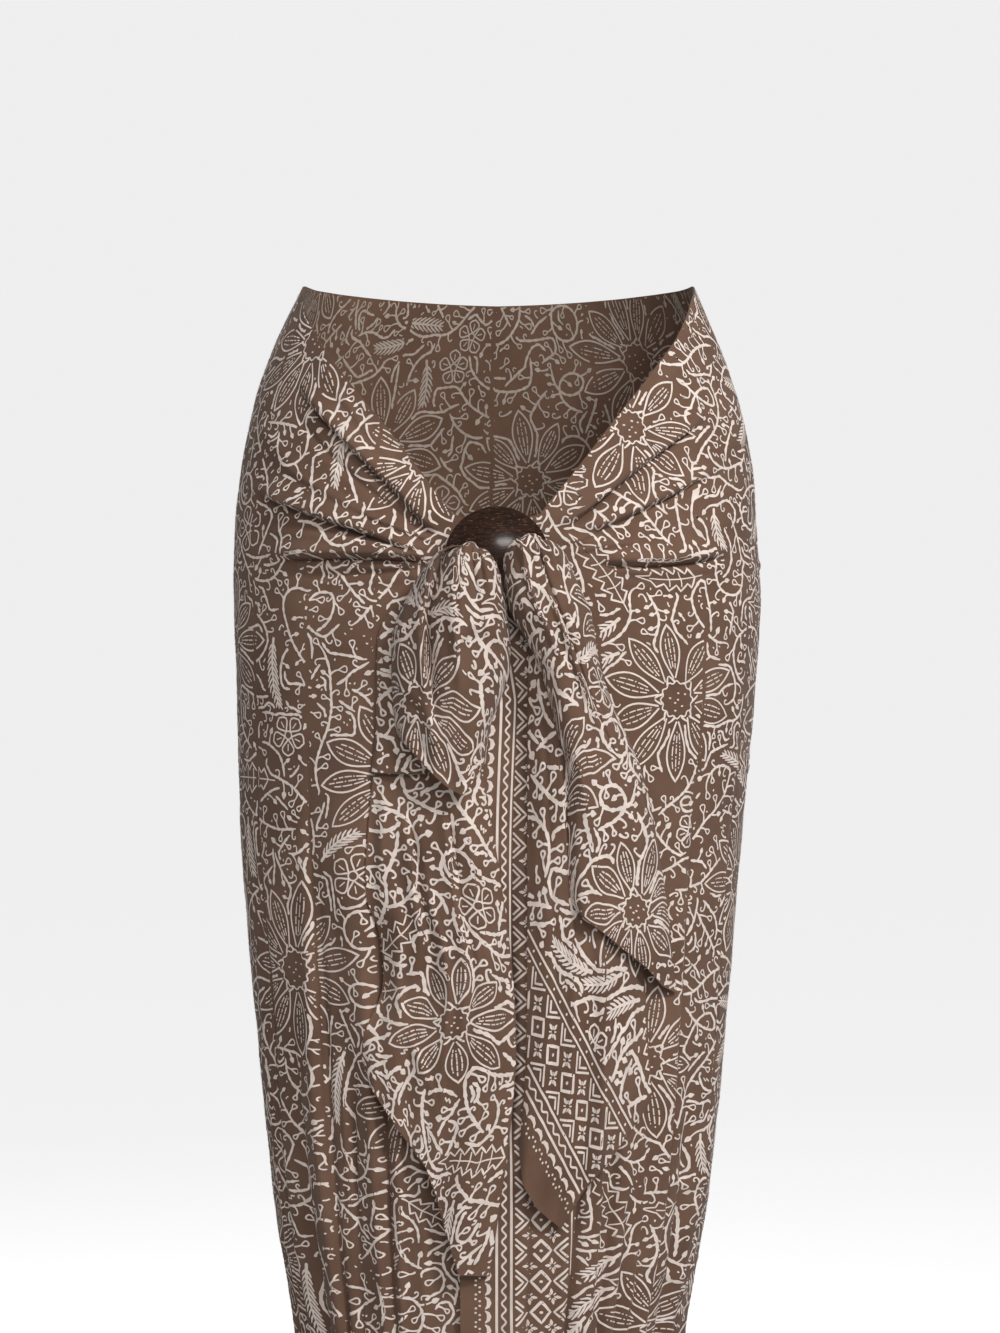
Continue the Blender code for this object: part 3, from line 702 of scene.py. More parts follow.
TAILS = {
    "tail_left_bundle": {
        "stations": [
            # xl, zl, off_l, xr, zr, off_r, forward, up
            (-21.4, -20, 0.9, -10.6, -20, 0.9, 0, 11),
            (-21.4, -20, 9, -10.6, -20, 9, 0, 13.8),
            (-21.4, -20, 18.5, -10.6, -20, 18.5, 0, 12),
            (-38, -22, 17, -3, -23, 22, 7, 11.5),
            (-48, -28, 14, 1.5, -30, 21, 13, 13),
            (-57, -40, 13, 5, -42, 19, 13, 8),
            (-68, -60, 15, 8, -61, 17, 13, 2),
            (-69, -85, 16, 9, -88, 14, 12, 0),
            (-68, -108, 15, 3, -107, 12, 10, 0),
            (-66, -129, 13, -6, -128, 11, 8, 0),
            (-64, -133, 10, -8, -150, 11, 10, 0),
        ],
        "lower_edge": [(-64, -133), (-54, -144), (-45, -154), (-33, -165), (-22, -171), (-8, -150)],
        "waves": 3, "wave_height": 2.6,
        "creases": [
            # u0, d0, u1, d1, u2, d2, height, width, skew
            (0.3, 0.2, 0.2, 0.45, 0.34, 0.8, 7.5, 0.06, 0.22),
            (0.33, 0.22, 0.26, 0.48, 0.44, 0.86, -4.5, 0.03, 1.5),
            (0.45, 0.2, 0.46, 0.42, 0.6, 0.74, 2.6, 0.045, 0.4),
            (0.6, 0.22, 0.66, 0.42, 0.8, 0.66, -2.6, 0.03, 1),
            (0.74, 0.22, 0.8, 0.4, 0.93, 0.6, 2, 0.04, 0.4),
            (0.1, 0.24, 0.07, 0.5, 0.12, 0.84, 2.2, 0.035, 0.5),
            (0.02, 0.8, 0.22, 0.78, 0.5, 0.9, 3.6, 0.045, 0.3),
            (0.05, 0.88, 0.24, 0.89, 0.46, 0.96, -2.4, 0.03, 1),
            (0.5, 0.7, 0.7, 0.6, 0.98, 0.66, 3.4, 0.05, 0.3),
            (0.52, 0.3, 0.56, 0.52, 0.64, 0.95, 1.4, 0.035, 1),
            (0.82, 0.56, 0.88, 0.7, 0.9, 0.9, -2.2, 0.03, 1),
        ],
        "gathers": 4, "gather_height": 4.2, "size": (72, 96), "cloth": (300, 96, 8),
    },
    "tail_left_side_layer": {
        "stations": [
            (-70, -50, 0.7, -43, -50, 2, 1, 0),
            (-79, -64, 0.7, -42, -64, 2, 1, 0),
            (-79, -110, 0.9, -42, -110, 2.4, 1.2, 0),
            (-80, -138, 3.2, -44, -138, 4.4, 1.2, 0),
            (-83, -157, 4.2, -46, -158, 5.4, 1.2, 0),
        ],
        "lower_edge": [(-83, -157), (-44, -158)],
        "waves": 1, "wave_height": 0.6,
        "creases": [(0.35, 0, 0.3, 0.5, 0.36, 1, 0.8, 0.1, 0.4)],
        "gathers": 3, "gather_height": 0.3, "size": (18, 44), "cloth": (60, 190, -10),
    },
    "tail_left_fall": {
        "stations": [
            (-80, -146, 0.7, -12, -146, 0.9, 0.3, 0),
            (-82, -163, 0.7, -9, -163, 1.2, 1, 0),
            (-85, -193, 0.9, -3, -193, 2.5, 6, 0),
            (-88, -240, 1, 5, -246, 3.5, 8, 0),
            (-76, -262, 1.2, 8, -270, 3.5, 9, 0),
            (-73, -300, 1.2, 12, -307, 3.5, 9, 0),
            (-88, -326, 1.2, 13, -350, 3.5, 9, 0),
            (-89, -346, 1.2, 8, -400, 3, 9, 0),
            (-86, -355, 1.2, -5, -488, 3, 7, 0),
        ],
        "lower_edge": [(-86, -355), (-80, -368), (-64, -392), (-47, -415), (-40, -435), (-34, -457),
                       (-25, -486), (-5, -488)],
        "waves": 3, "wave_height": 3,
        "creases": [
            (0.28, 0.18, 0.36, 0.42, 0.2, 0.62, 5, 0.07, 0.25),
            (0.32, 0.2, 0.42, 0.44, 0.3, 0.7, -2.6, 0.025, 1.6),
            (0.6, 0.14, 0.66, 0.4, 0.62, 0.78, 3.4, 0.055, 0.3),
            (0.64, 0.18, 0.71, 0.44, 0.68, 0.84, -2.2, 0.025, 1),
            (0.8, 0.2, 0.84, 0.5, 0.82, 0.92, 2.6, 0.045, 0.35),
            (0.92, 0.22, 0.93, 0.5, 0.93, 0.92, -1.8, 0.03, 1),
            (0.02, 0.55, 0.22, 0.68, 0.5, 0.88, 2.6, 0.05, 0.3),
            (0.46, 0.3, 0.5, 0.55, 0.54, 0.92, 1.8, 0.035, 0.5),
            (0.1, 0.1, 0.12, 0.3, 0.06, 0.5, 1.6, 0.04, 0.5),
        ],
        "gathers": 4, "gather_height": 0.8, "size": (60, 124), "cloth": (333, 313, 4),
    },
    "tail_right_flap": {
        "stations": [
            (10.6, -19, 0.9, 21.4, -19, 0.9, 0, 10),
            (10.6, -19, 9, 21.4, -19, 9, 0, 12.8),
            (10.6, -19, 18.5, 21.4, -19, 18.5, 0, 13.2),
            (5.5, -18, 22, 36, -16, 19, 7, 14),
            (4, -22, 22, 45, -18, 12, 14, 10),
            (4.5, -32, 21, 51, -30, 5, 15, 4),
            (9, -52, 19, 61, -50, 5, 15, 0),
            (15, -62, 18, 63, -62, 6, 13, 0),
            (30, -88, 17, 67, -90, 7, 9, 0),
            (38, -125, 16, 81, -125, 7, 8, 0),
            (48, -156, 15, 96, -155, 5, 8, 0),
            (46, -187, 15, 103, -187, 4, 8, 0),
            (47, -239, 14, 112, -240, 3, 7, 0),
            (50, -243, 14, 119, -304, 2, 5, 0),
        ],
        "lower_edge": [(50, -243), (57, -251), (72, -263), (82, -272), (99, -286), (109, -298),
                       (119, -304)],
        "waves": 2, "wave_height": 2.2,
        "creases": [
            (0.26, 0.18, 0.32, 0.4, 0.4, 0.62, 2.8, 0.05, 0.35),
            (0.44, 0.2, 0.54, 0.42, 0.66, 0.72, 3.4, 0.06, 0.3),
            (0.49, 0.22, 0.6, 0.46, 0.74, 0.8, -2, 0.03, 1),
            (0.7, 0.2, 0.78, 0.44, 0.9, 0.74, 2.8, 0.05, 0.3),
            (0.12, 0.24, 0.14, 0.45, 0.16, 0.62, 1.5, 0.04, 1),
            (0.86, 0.22, 0.92, 0.4, 0.95, 0.6, -1.6, 0.035, 1),
            (0.1, 0.66, 0.22, 0.8, 0.4, 0.96, 2, 0.04, 0.4),
            (0.84, 0.6, 0.88, 0.78, 0.94, 0.97, 2.6, 0.05, 0.3),
            (0.02, 0.3, 0.3, 0.345, 0.52, 0.33, -1.2, 0.018, 1),
            (0.04, 0.55, 0.25, 0.58, 0.5, 0.56, -1.1, 0.018, 1),
        ],
        "gathers": 4, "gather_height": 2.6, "size": (60, 124), "cloth": (385, 104, -20),
        "left_roll": 0.1,
    },
    "tail_right_fall": {
        "stations": [
            (22, -57, 1, 56, -57, 0.8, 2, 0),
            (20, -100, 1.6, 68, -100, 0.8, 4, 0),
            (20, -155, 1.6, 82, -155, 0.8, 5, 0),
            (20, -207, 1.6, 90, -207, 0.8, 5, 0),
            (20, -250, 1.6, 95, -250, 0.8, 5, 0),
            (20, -304, 2, 98, -304, 0.9, 6, 0),
            (19, -354, 2.2, 101, -354, 1, 7, 0),
            (17, -380, 2.2, 103, -372, 1, 7, 0),
            (15, -406, 2.2, 98, -380, 1, 6, 0),
        ],
        "lower_edge": [(15, -406), (17, -426), (26, -442), (42, -456), (57, -431), (74, -411),
                       (98, -380)],
        "waves": 2, "wave_height": 2.4,
        "creases": [
            (0.2, 0.1, 0.22, 0.45, 0.26, 0.9, -2.2, 0.03, 1.4),
            (0.34, 0.12, 0.38, 0.5, 0.42, 0.96, 2, 0.045, 0.4),
            (0.58, 0.2, 0.66, 0.6, 0.74, 0.96, 4.2, 0.07, 0.25),
            (0.66, 0.22, 0.75, 0.62, 0.84, 0.98, -2.4, 0.028, 1.6),
            (0.88, 0.3, 0.91, 0.65, 0.93, 0.96, 1.8, 0.04, 0.4),
            (0.1, 0.4, 0.12, 0.6, 0.1, 0.86, 1.6, 0.04, 0.5),
        ],
        "gathers": 3, "gather_height": 0.3, "size": (44, 148),
        "corner": (42, -456, 0.61, 0.79, -0.46, 0.89),
    },
}

STEP_SLOPE = 0.35
STEP_REACH = 15
MAP_STEP = 2.0
MAP_X = (-130, 140)
MAP_Z = (-500, 40)


def front_map(sheets):
    """A function that says how far forward the wound cloth comes, eased over its steps."""
    trees = [BVHTree.FromPolygons(sheet.outer.reshape(-1, 3).tolist(), sheet.cells().reshape(-1, 4).tolist())
             for sheet in sheets]
    xs = np.arange(MAP_X[0], MAP_X[1] + MAP_STEP, MAP_STEP)
    zs = np.arange(MAP_Z[0], MAP_Z[1] + MAP_STEP, MAP_STEP)
    depth = np.zeros((len(zs), len(xs)))
    for i, z in enumerate(zs):
        for j, x in enumerate(xs):
            for tree in trees:
                hit = tree.ray_cast(Vector((x * MM, -1, z * MM)), Vector((0, 1, 0)))[0]
                if hit is not None:
                    depth[i, j] = min(depth[i, j], hit.y / MM)
    reach = int(STEP_REACH / MAP_STEP)
    eased = np.min([np.roll(depth, shift, axis=1) + STEP_SLOPE * abs(shift) * MAP_STEP
                    for shift in range(-reach, reach + 1)], axis=0)

    def front(x, z):
        column = np.clip((x - MAP_X[0]) / MAP_STEP, 0, len(xs) - 1.001)
        row = np.clip((z - MAP_Z[0]) / MAP_STEP, 0, len(zs) - 1.001)
        return bilinear(eased, row, column)

    return front


def line_points(line, t):
    """Points at shares t of the number of stretches of a line."""
    return between(np.array(line, float), np.clip(t, 0, 1) * (len(line) - 1))


def soften(values, passes):
    """Rounds the corners of values down their rows."""
    values = values.copy()
    for _ in range(passes):
        values[1:-1] = 0.25 * values[:-2] + 0.5 * values[1:-1] + 0.25 * values[2:]
    return values


def tail_crease(u, down, row):
    """Height of one crease of a hanging end; skew is the width of its right or lower side."""
    u0, d0, u1, d1, u2, d2, height, width, skew = row
    t = np.linspace(0, 1, CREASE_POINTS)
    line_u = curve(u0, u1, u2, t)
    line_d = curve(d0, d1, d2, t)
    if abs(d2 - d0) > CREASE_UPRIGHT:
        order = np.argsort(line_d)
        off = u - np.interp(down, line_d[order], line_u[order])
        first, last, along = d0, d2, down
    else:
        order = np.argsort(line_u)
        off = (down - np.interp(u, line_u[order], line_d[order])) * LEVEL_SHARE
        first, last, along = u0, u2, u
    ends = smooth(first - CREASE_OUT, first + CREASE_IN, along)
    ends = ends * (1 - smooth(last - CREASE_IN, last + CREASE_OUT, along))
    wide = np.where(off > 0, width * skew, width)
    return height * ends * np.exp(-(off / wide) ** 2)


def tail_sheet(name, tail, front):
    """A hanging end: a net between its stations, with waves, creases and turned edges."""
    columns, rows = tail["size"]
    u = np.linspace(0, 1, columns + 1)[None, :]
    down = np.linspace(0, 1, rows + 1)[:, None]
    count = len(tail["stations"])
    sharp = line_points(tail["stations"], down[:, 0])
    stations = soften(sharp, int((rows / count) ** 2 * STATION_EASES))
    if name in FROM_HOLES:
        hole = int(rows * HOLE_STATIONS / (count - 1))
        blend = smooth(hole, hole + HOLE_ROWS, np.arange(rows + 1))[:, None]
        stations = sharp * (1 - blend) + stations * blend
    xl, zl, off_l, xr, zr, off_r, forward, up = stations.T[:, :, None]
    last = tail["stations"][-1]
    edge = smooth(*EDGE_SETS_IN, down)
    low_x, low_z = line_points(tail["lower_edge"], u[0]).T[:, None]
    x = xl + (xr - xl) * u + edge * (low_x - last[0] - (last[3] - last[0]) * u)
    z = zl + (zr - zl) * u + edge * (low_z - last[1] - (last[4] - last[1]) * u)
    arch = np.sin(np.pi * u) ** ARCH_POWER
    wave = 0.5 - 0.5 * np.cos(2 * np.pi * tail["waves"] * u)
    shown = smooth(*WAVES_SET_IN, down)
    rise = forward * arch + tail["wave_height"] * wave * shown
    inside = np.sin(np.pi * u) ** INSIDE_POWER
    for row in tail["creases"]:
        rise = rise + tail_crease(u + 0 * down, down + 0 * u, row) * inside
    sway = GATHER_SWAY * np.sin(GATHER_TURNS * down)
    gather = abs(np.sin(np.pi * tail["gathers"] * (u + sway))) ** GATHER_POWER - 0.5
    rise = rise + tail["gather_height"] * gather * (1 - smooth(*GATHERS_FADE, down)) * inside * shown
    stand = off_l + (off_r - off_l) * u + rise
    left_roll = tail.get("left_roll", EDGE_ROLL)
    turned = EDGE_TURN * shown * (np.exp(-u / left_roll) + np.exp(-(1 - u) / EDGE_ROLL))
    stand = stand - turned * np.minimum(stand, TURN_LIMIT)
    y = front(x, z) - (np.maximum(stand, LEAST_STAND) + CLOTH_INSET)
    lobes = abs(np.sin(CROWN_TURNS * np.pi * u + CROWN_START))
    crown = np.sin(np.pi * u) ** CROWN_POWER * (1 + CROWN_LOBES * lobes)
    lift = up * (arch + (crown - arch) * shown * (1 - smooth(*CROWN_FADES, down)))
    grid = np.stack([x, y, z + lift], axis=-1) * MM
    return Sheet("cloth_" + name, grid, tail_cloth(tail, grid))


def tail_cloth(tail, grid):
    """Places on the flat cloth: along and down the hanging end, turned as it was gathered."""
    if "corner" in tail:
        cx, cz, along_x, along_z, edge_x, edge_z = tail["corner"]
        x = grid[..., 0] / MM - cx
        z = grid[..., 2] / MM - cz
        whole = along_x * edge_z - along_z * edge_x
        return np.stack([(x * edge_z - z * edge_x) / whole, (along_x * z - along_z * x) / whole], axis=-1)
    across, down = (np.insert(np.linalg.norm(np.diff(grid, axis=axis), axis=2).cumsum(axis=axis) / MM,
                              0, 0, axis=axis) for axis in (1, 0))
    across = soften(across - across[:, -1:] / 2, CLOTH_EASES)
    down = soften(down.T, CLOTH_EASES).T
    u0, v0, degrees = tail["cloth"]
    c = math.cos(math.radians(degrees))
    s = math.sin(math.radians(degrees))
    return np.stack([u0 + c * across - s * down, v0 + s * across + c * down], axis=-1)


# The print, drawn flat in millimetres of cloth: one repeat that joins at its edges
REPEAT = (460, 420)
SEED = 7
LINE = 1.0
THIN_LINE = 0.85
JOINT = 2.3
BOLDER = (1.12, 1.42)
CLEARANCE = 1.25
DAISIES = [
    # x, y, radius, petals, turn
    (70, 82, 56, 10, 12),
    (232, 42, 48, 9, 40),
    (385, 130, 58, 11, 5),
    (165, 205, 52, 10, 30),
    (302, 262, 60, 11, 18),
    (52, 322, 50, 9, 0),
    (400, 345, 50, 10, 25),
]
DAISY_CORE = 0.21
DAISY_SCALLOPS = 12
DAISY_LOOPS = 11
DAISY_DOTS = 7
DAISY_DOT_TURN = 2.4
PETAL_LINES = (-0.42, 0.0, 0.42)
SPRIGS = [
    # tries, longest and shortest stem
    (900, 95, 26),
    (1600, 40, 9),
]
STEM_STEP = 2.2
SINGLE_BUDS = 2600
BUD_KINDS = ("loop",) * 6 + ("drop", "drop", "hook", "curl")
BUD_SKIP = 2.6
BUD_SHRINKS = (1.0, 0.78, 0.58)
SWERVES = (0.0, 0.35, -0.35, 0.7, -0.7)
MOST_CURL = 0.2
CRUMBS = 2600
CRUMB_LINES = [
    # share up to which the kind is drawn, points
    (0.35, [(0, 0), (0.9, 0)]),
    (0.6, [(0, 0), (1.3, 0.3), (2.6, 0)]),
    (0.8, [(0, 0), (1.6, 1.0), (1.2, 2.6), (-0.4, 2.6)]),
    (1.0, [(0, 0), (2.2, 1.6), (3.2, -0.6), (5.4, 1.2)]),
]


def stroke(points, width):
    points = np.asarray(points, float)
    return np.column_stack([points, np.broadcast_to(width, len(points))])


def xy_stroke(x, y, width):
    return stroke(np.column_stack([x, y]), width)


def polar_stroke(radius, angle, width):
    return xy_stroke(radius * np.cos(angle), radius * np.sin(angle), width)


def moved(strokes, x, y, turn):
    """Strokes turned by an angle in radians and carried to a place."""
    c = math.cos(turn)
    s = math.sin(turn)
    return [np.column_stack([x + c * line[:, 0] - s * line[:, 1], y + s * line[:, 0] + c * line[:, 1],
                             line[:, 2]]) for line in strokes]


def refined(line, step):
    """A stroke with points no further apart than step."""
    lengths = np.hypot(*np.diff(line[:, :2], axis=0).T)
    counts = np.maximum(1, np.ceil(lengths / step)).astype(int)
    ends = np.concatenate([[0], counts.cumsum()])
    return between(line, np.interp(np.arange(ends[-1] + 1), ends, np.arange(len(line))))


def hairpin(count):
    """Shares of the way out and back along a loop, and the side of each point."""
    t = np.concatenate([np.linspace(0, 1, count), np.linspace(1, 0, count)[1:]])
    return t, np.concatenate([np.ones(count), -np.ones(count - 1)])


def petal_half_width(t, width):
    return width * (0.12 * (1 - t) + np.sin(np.pi * t ** 1.2) ** 0.85)


def petal(start, length, width, rng):
    """A long petal along +x: a hairpin outline with broken lines and dots inside."""
    t, side = hairpin(11)
    half = petal_half_width(t, width)
    half[10] = 0
    outline = xy_stroke(start + length * t, side * half, LINE)
    outline[:, 2] += 0.55 * np.exp(-((t - 1) / 0.08) ** 2) + 0.3 * rng.random()
    strokes = [outline]
    for share in PETAL_LINES:
        t0 = 0.14 + 0.08 * rng.random()
        t_end = 0.80 - 0.18 * abs(share) + 0.06 * rng.random()
        while t0 < t_end:
            dotted = rng.random() < 0.25
            run = 0.016 if dotted else 0.05 + 0.13 * rng.random()
            ts = np.linspace(t0, min(t0 + run, t_end), 2 if dotted else 4)
            strokes.append(xy_stroke(start + length * ts, share * petal_half_width(ts, width), THIN_LINE))
            t0 += run + 0.035 + 0.02 * rng.random()
    return strokes


def daisy_core(core, rng):
    """The disc of a daisy: a scalloped rim with feathery loops, and dots inside."""
    angles = np.linspace(0, 2 * np.pi, 61)
    strokes = [polar_stroke(core + 0.9 * np.cos(DAISY_SCALLOPS * angles), angles, LINE)]
    for k in range(DAISY_LOOPS):
        a = 2 * np.pi * (k + 0.3 * rng.random()) / DAISY_LOOPS
        t = np.linspace(0, 1, 5)
        lean = a + 0.22 * t * (1 if k % 2 else -1)
        strokes.append(polar_stroke(core + 0.4 + 4.4 * t, lean, LINE + 0.7 * (1 - t)))
    for k in range(DAISY_DOTS):
        r = core * 0.26 * math.sqrt(k)
        x = r * math.cos(DAISY_DOT_TURN * k)
        y = r * math.sin(DAISY_DOT_TURN * k)
        strokes.append(stroke([(x, y), (x + 0.9, y)], 1.1))
    return strokes


def small_flower(radius, rng):
    """A small flower: a ring and five or six looped petals."""
    petals = rng.choice((5, 5, 6))
    ring = radius * 0.20
    strokes = [polar_stroke(ring, np.linspace(0, 2 * np.pi, 13), LINE)]
    for k in range(petals):
        a = 2 * np.pi * k / petals + 0.2 * rng.random()
        t, side = hairpin(7)
        half = radius * 0.36 * np.sin(np.pi * t ** 1.5) ** 0.8
        outline = xy_stroke(ring + (radius - ring) * t, side * half, LINE + 0.2)
        vein = stroke([(ring + 0.25 * radius, 0), (ring + 0.55 * radius, 0)], THIN_LINE)
        strokes += moved([outline, vein], 0, 0, a)
    return strokes


def bent_stroke(bend, points, width):
    """A stroke along +x whose points are carried sideways as a leaf bends."""
    return stroke([(x, y + bend * x * x) for x, y in points], width)


def jagged_leaf(length, rng):
    """A leaf along +x with a toothed outline, thick joints and a midrib."""
    teeth = int(length / 8)
    bend = 0.5 * (rng.random() - 0.5) / length
    half = length * 0.17
    rib = [(x, 0) for x in np.linspace(-length * 0.12, length * 0.78, 7)]
    strokes = [bent_stroke(bend, rib, np.linspace(LINE, THIN_LINE, 7))]
    for side in (-1, 1):
        points = [(0, 0)]
        widths = [LINE]
        for k in range(teeth - 1):
            t = (k + 0.75) / teeth
            out = half * math.sin(math.pi * (t * 0.93 + 0.04) ** 0.8) ** 0.8 + 0.5
            points.append((length * (t - 0.02), side * out))
            points.append((length * (t + 0.035), side * out * (0.62 - 0.36 * t)))
            widths += [LINE + 0.6 * (JOINT - LINE) * (1 - t), LINE]
            if 0 < k < teeth - 2:
                vein = [(length * (t - 0.42 / teeth), side * 0.7), (length * (t - 0.05), side * out * 0.62)]
                strokes.append(bent_stroke(bend, vein, THIN_LINE))
        points.append((length, 0))
        strokes.append(bent_stroke(bend, points, widths + [THIN_LINE]))
    return strokes


def fern(length, rng):
    """A feathery sprig along +x: a bent stem with short pointed leaflets on both sides."""
    bend = 0.7 * (rng.random() - 0.5) / length
    rib = [(x, 0) for x in np.linspace(0, length, 7)]
    strokes = [bent_stroke(bend, rib, np.linspace(JOINT, THIN_LINE, 7))]
    count = int(length / 3.6)
    for k in range(1, count):
        x = length * k / count
        reach = 1.2 + 4.6 * math.sin(math.pi * (0.12 + 0.8 * k / count))
        for side in (-1, 1):
            leaflet = [(x, 0.5 * side), (x + 0.5 * reach, 0.5 * side * reach),
                       (x + 1.2 * reach, 0.9 * side * reach)]
            strokes.append(bent_stroke(bend, leaflet, (LINE, 1.6, 0.7)))
    return strokes


def bud(x, y, heading, reach, bow, kind, size):
    """A curved stalk that ends in a looped bud, a solid drop, a hook or a curl."""
    t = np.linspace(0, 1, 4)
    stalk = xy_stroke(x + reach * t * np.cos(heading + bow * t / 2),
                      y + reach * t * np.sin(heading + bow * t / 2), LINE + 0.5 * (1 - t))
    if kind == "loop":
        t = np.linspace(0, 1, 10)
        end = xy_stroke(size * np.sin(np.pi * t) ** 0.8, 0.34 * size * np.sin(2 * np.pi * t) * -1, LINE)
    elif kind == "drop":
        t = np.linspace(0, 1, 5)
        fat = LINE + (0.62 * size - LINE) * np.sin(np.pi * t ** 0.75) ** 0.8
        end = xy_stroke(size * 0.8 * t, 0 * t, fat)
    else:
        t = np.linspace(0, 1, 7)
        radius = size * 0.36 * (1 - 0.55 * t if kind == "curl" else 1 + 0 * t)
        spin = -np.pi / 2 + (3.6 if kind == "curl" else 2.4) * t
        sign = 1 if bow > 0 else -1
        end = xy_stroke(radius * np.cos(spin), sign * (size * 0.36 + radius * np.sin(spin)), LINE)
    end = moved([end], stalk[-1, 0], stalk[-1, 1], heading + bow)[0]
    return np.concatenate([stalk, end[1:]])


class Drawing:
    """The strokes of the repeat and the places they take, wrapped round at its edges."""

    def __init__(self):
        self.rng = random.Random(SEED)
        self.taken = np.zeros((REPEAT[1], REPEAT[0]), bool)
        self.strokes = []

    def cells(self, x, y):
        return np.floor(y).astype(int) % REPEAT[1], np.floor(x).astype(int) % REPEAT[0]

    def clear(self, points):
        return not self.taken[self.cells(points[:, 0], points[:, 1])].any()

    def free(self, line, skip=0.0):
        """Whether a stroke is clear, apart from its first stretch of length skip."""
        dense = refined(line, 0.9)
        if skip:
            length = np.hypot(*np.diff(dense[:, :2], axis=0).T).cumsum()
            dense = dense[1:][length > skip]
        return self.clear(dense)

    def mark(self, line, clearance=CLEARANCE):
        dense = refined(line, 0.8)
        radius = dense[:, 2] / 2 + clearance
        reach = int(math.ceil(radius.max()))
        span = np.arange(-reach, reach + 1)
        dx, dy = (part.ravel()[None, :] for part in np.meshgrid(span, span))
        inside = dx ** 2 + dy ** 2 <= radius[:, None] ** 2
        x = (dense[:, 0][:, None] + dx)[inside]
        y = (dense[:, 1][:, None] + dy)[inside]
        self.taken[self.cells(x, y)] = True

    def draw(self, lines):
        for line in lines:
            self.mark(line)
        self.strokes.extend(lines)

    def anywhere(self):
        rng = self.rng
        return rng.random() * REPEAT[0], rng.random() * REPEAT[1], rng.random() * 2 * math.pi

    def starts(self, tries):
        """Free places to start from, with a heading, out of a number of tries."""
        for _ in range(tries):
            x, y, heading = self.anywhere()
            if self.clear(np.array([[x, y]])):
                yield x, y, heading

    def daisy(self, x, y, radius, petals, turn):
        """A large daisy: its disc and long petals, with the cloth kept free between them."""
        rng = self.rng
        core = radius * DAISY_CORE
        placed = moved(daisy_core(core, rng), x, y, 0)
        for k in range(petals):
            a = turn + 2 * np.pi * (k + 0.16 * rng.random()) / petals
            length = (radius - core) * (0.80 + 0.24 * rng.random())
            width = 1.05 * np.pi * radius * 0.62 / petals * (0.78 + 0.2 * rng.random())
            placed += moved(petal(core + 3.0, length - 3.0, width * 0.5 * 1.45, rng), x, y, a)
            axis = stroke([(core, 0), (core + length * 0.5, 0), (core + length, 0)], [3, 1.5 * width, 3])
            self.mark(moved([axis], x, y, a)[0], 0.6)
        self.mark(stroke([(x - 0.5, y), (x + 0.5, y)], 2 * core + 8), 0)
        self.draw(placed)

    def settle(self, make, low, spread, wanted, tries):
        """Sets motifs of a size from low to low + spread where they fit, up to a number."""
        for _ in range(tries):
            if wanted == 0:
                break
            place = self.anywhere()
            lines = moved(make(low + spread * self.rng.random(), self.rng), *place)
            if all(self.free(line) for line in lines):
                self.draw(lines)
                wanted -= 1

    def bud(self, x, y, heading, skip):
        """Puts a bud at a place if one fits there; shorter ones are tried last."""
        rng = self.rng
        for shrink in BUD_SHRINKS:
            reach = (4.6 + 4.0 * rng.random()) * shrink
            size = (4.9 + 1.5 * rng.random()) * (0.5 + 0.5 * shrink)
            bow = rng.choice((-1, 1)) * (0.3 + 0.6 * rng.random())
            line = bud(x, y, heading, reach, bow, rng.choice(BUD_KINDS), size)
            if self.free(line, skip):
                self.draw([line])
                return True
        return False

    def stem(self, x, y, heading, reach):
        """A wavy way through free cloth, with the heading at each point."""
        curl = 0.10 * (self.rng.random() - 0.5)
        points = [(x, y)]
        headings = [heading]
        while len(points) * STEM_STEP < reach:
            curl += 0.09 * (self.rng.random() - 0.5)
            curl = max(-MOST_CURL, min(MOST_CURL, curl))
            for swerve in SWERVES:
                turn = headings[-1] + curl + swerve
                nx = points[-1][0] + STEM_STEP * math.cos(turn)
                ny = points[-1][1] + STEM_STEP * math.sin(turn)
                ahead = (nx + STEM_STEP * math.cos(turn), ny + STEM_STEP * math.sin(turn))
                if self.clear(np.array([(nx, ny), ahead])):
                    break
            else:
                break
            points.append((nx, ny))
            headings.append(turn)
        return np.array(points), headings

    def sprig(self, x, y, heading, reach, least):
        """Grows a stem through free cloth and sets buds on both sides of it."""
        rng = self.rng
        points, headings = self.stem(x, y, heading, reach)
        if (len(points) - 1) * STEM_STEP < least:
            return
        place = np.arange(len(points)) * STEM_STEP
        joints = []
        at = 2.5 + 2 * rng.random()
        side = rng.choice((-1, 1))
        while at < place[-1] + 0.1:
            joints.append((at, side))
            side = -side
            at += 2.9 + 1.3 * rng.random()
        width = np.full(len(points), LINE)
        for at, side in joints:
            width = np.maximum(width, LINE + (JOINT - LINE) * np.exp(-((place - at) / 1.3) ** 2))
        self.draw([stroke(points, width)])
        for at, side in joints:
            i = min(int(at / STEM_STEP), len(points) - 1)
            lean = side * (0.45 + 0.35 * rng.random())
            if not self.bud(*points[i], headings[i] + lean, BUD_SKIP):
                self.bud(*points[i], headings[i] + lean * 1.5, BUD_SKIP)
        self.bud(*points[-1], headings[-1], BUD_SKIP)


MOTIFS = [
    # shape, least size, what chance adds to it, number, tries
    (small_flower, 11, 5, 9, 3000),
    (jagged_leaf, 34, 24, 7, 5000),
    (fern, 26, 24, 18, 6000),
]


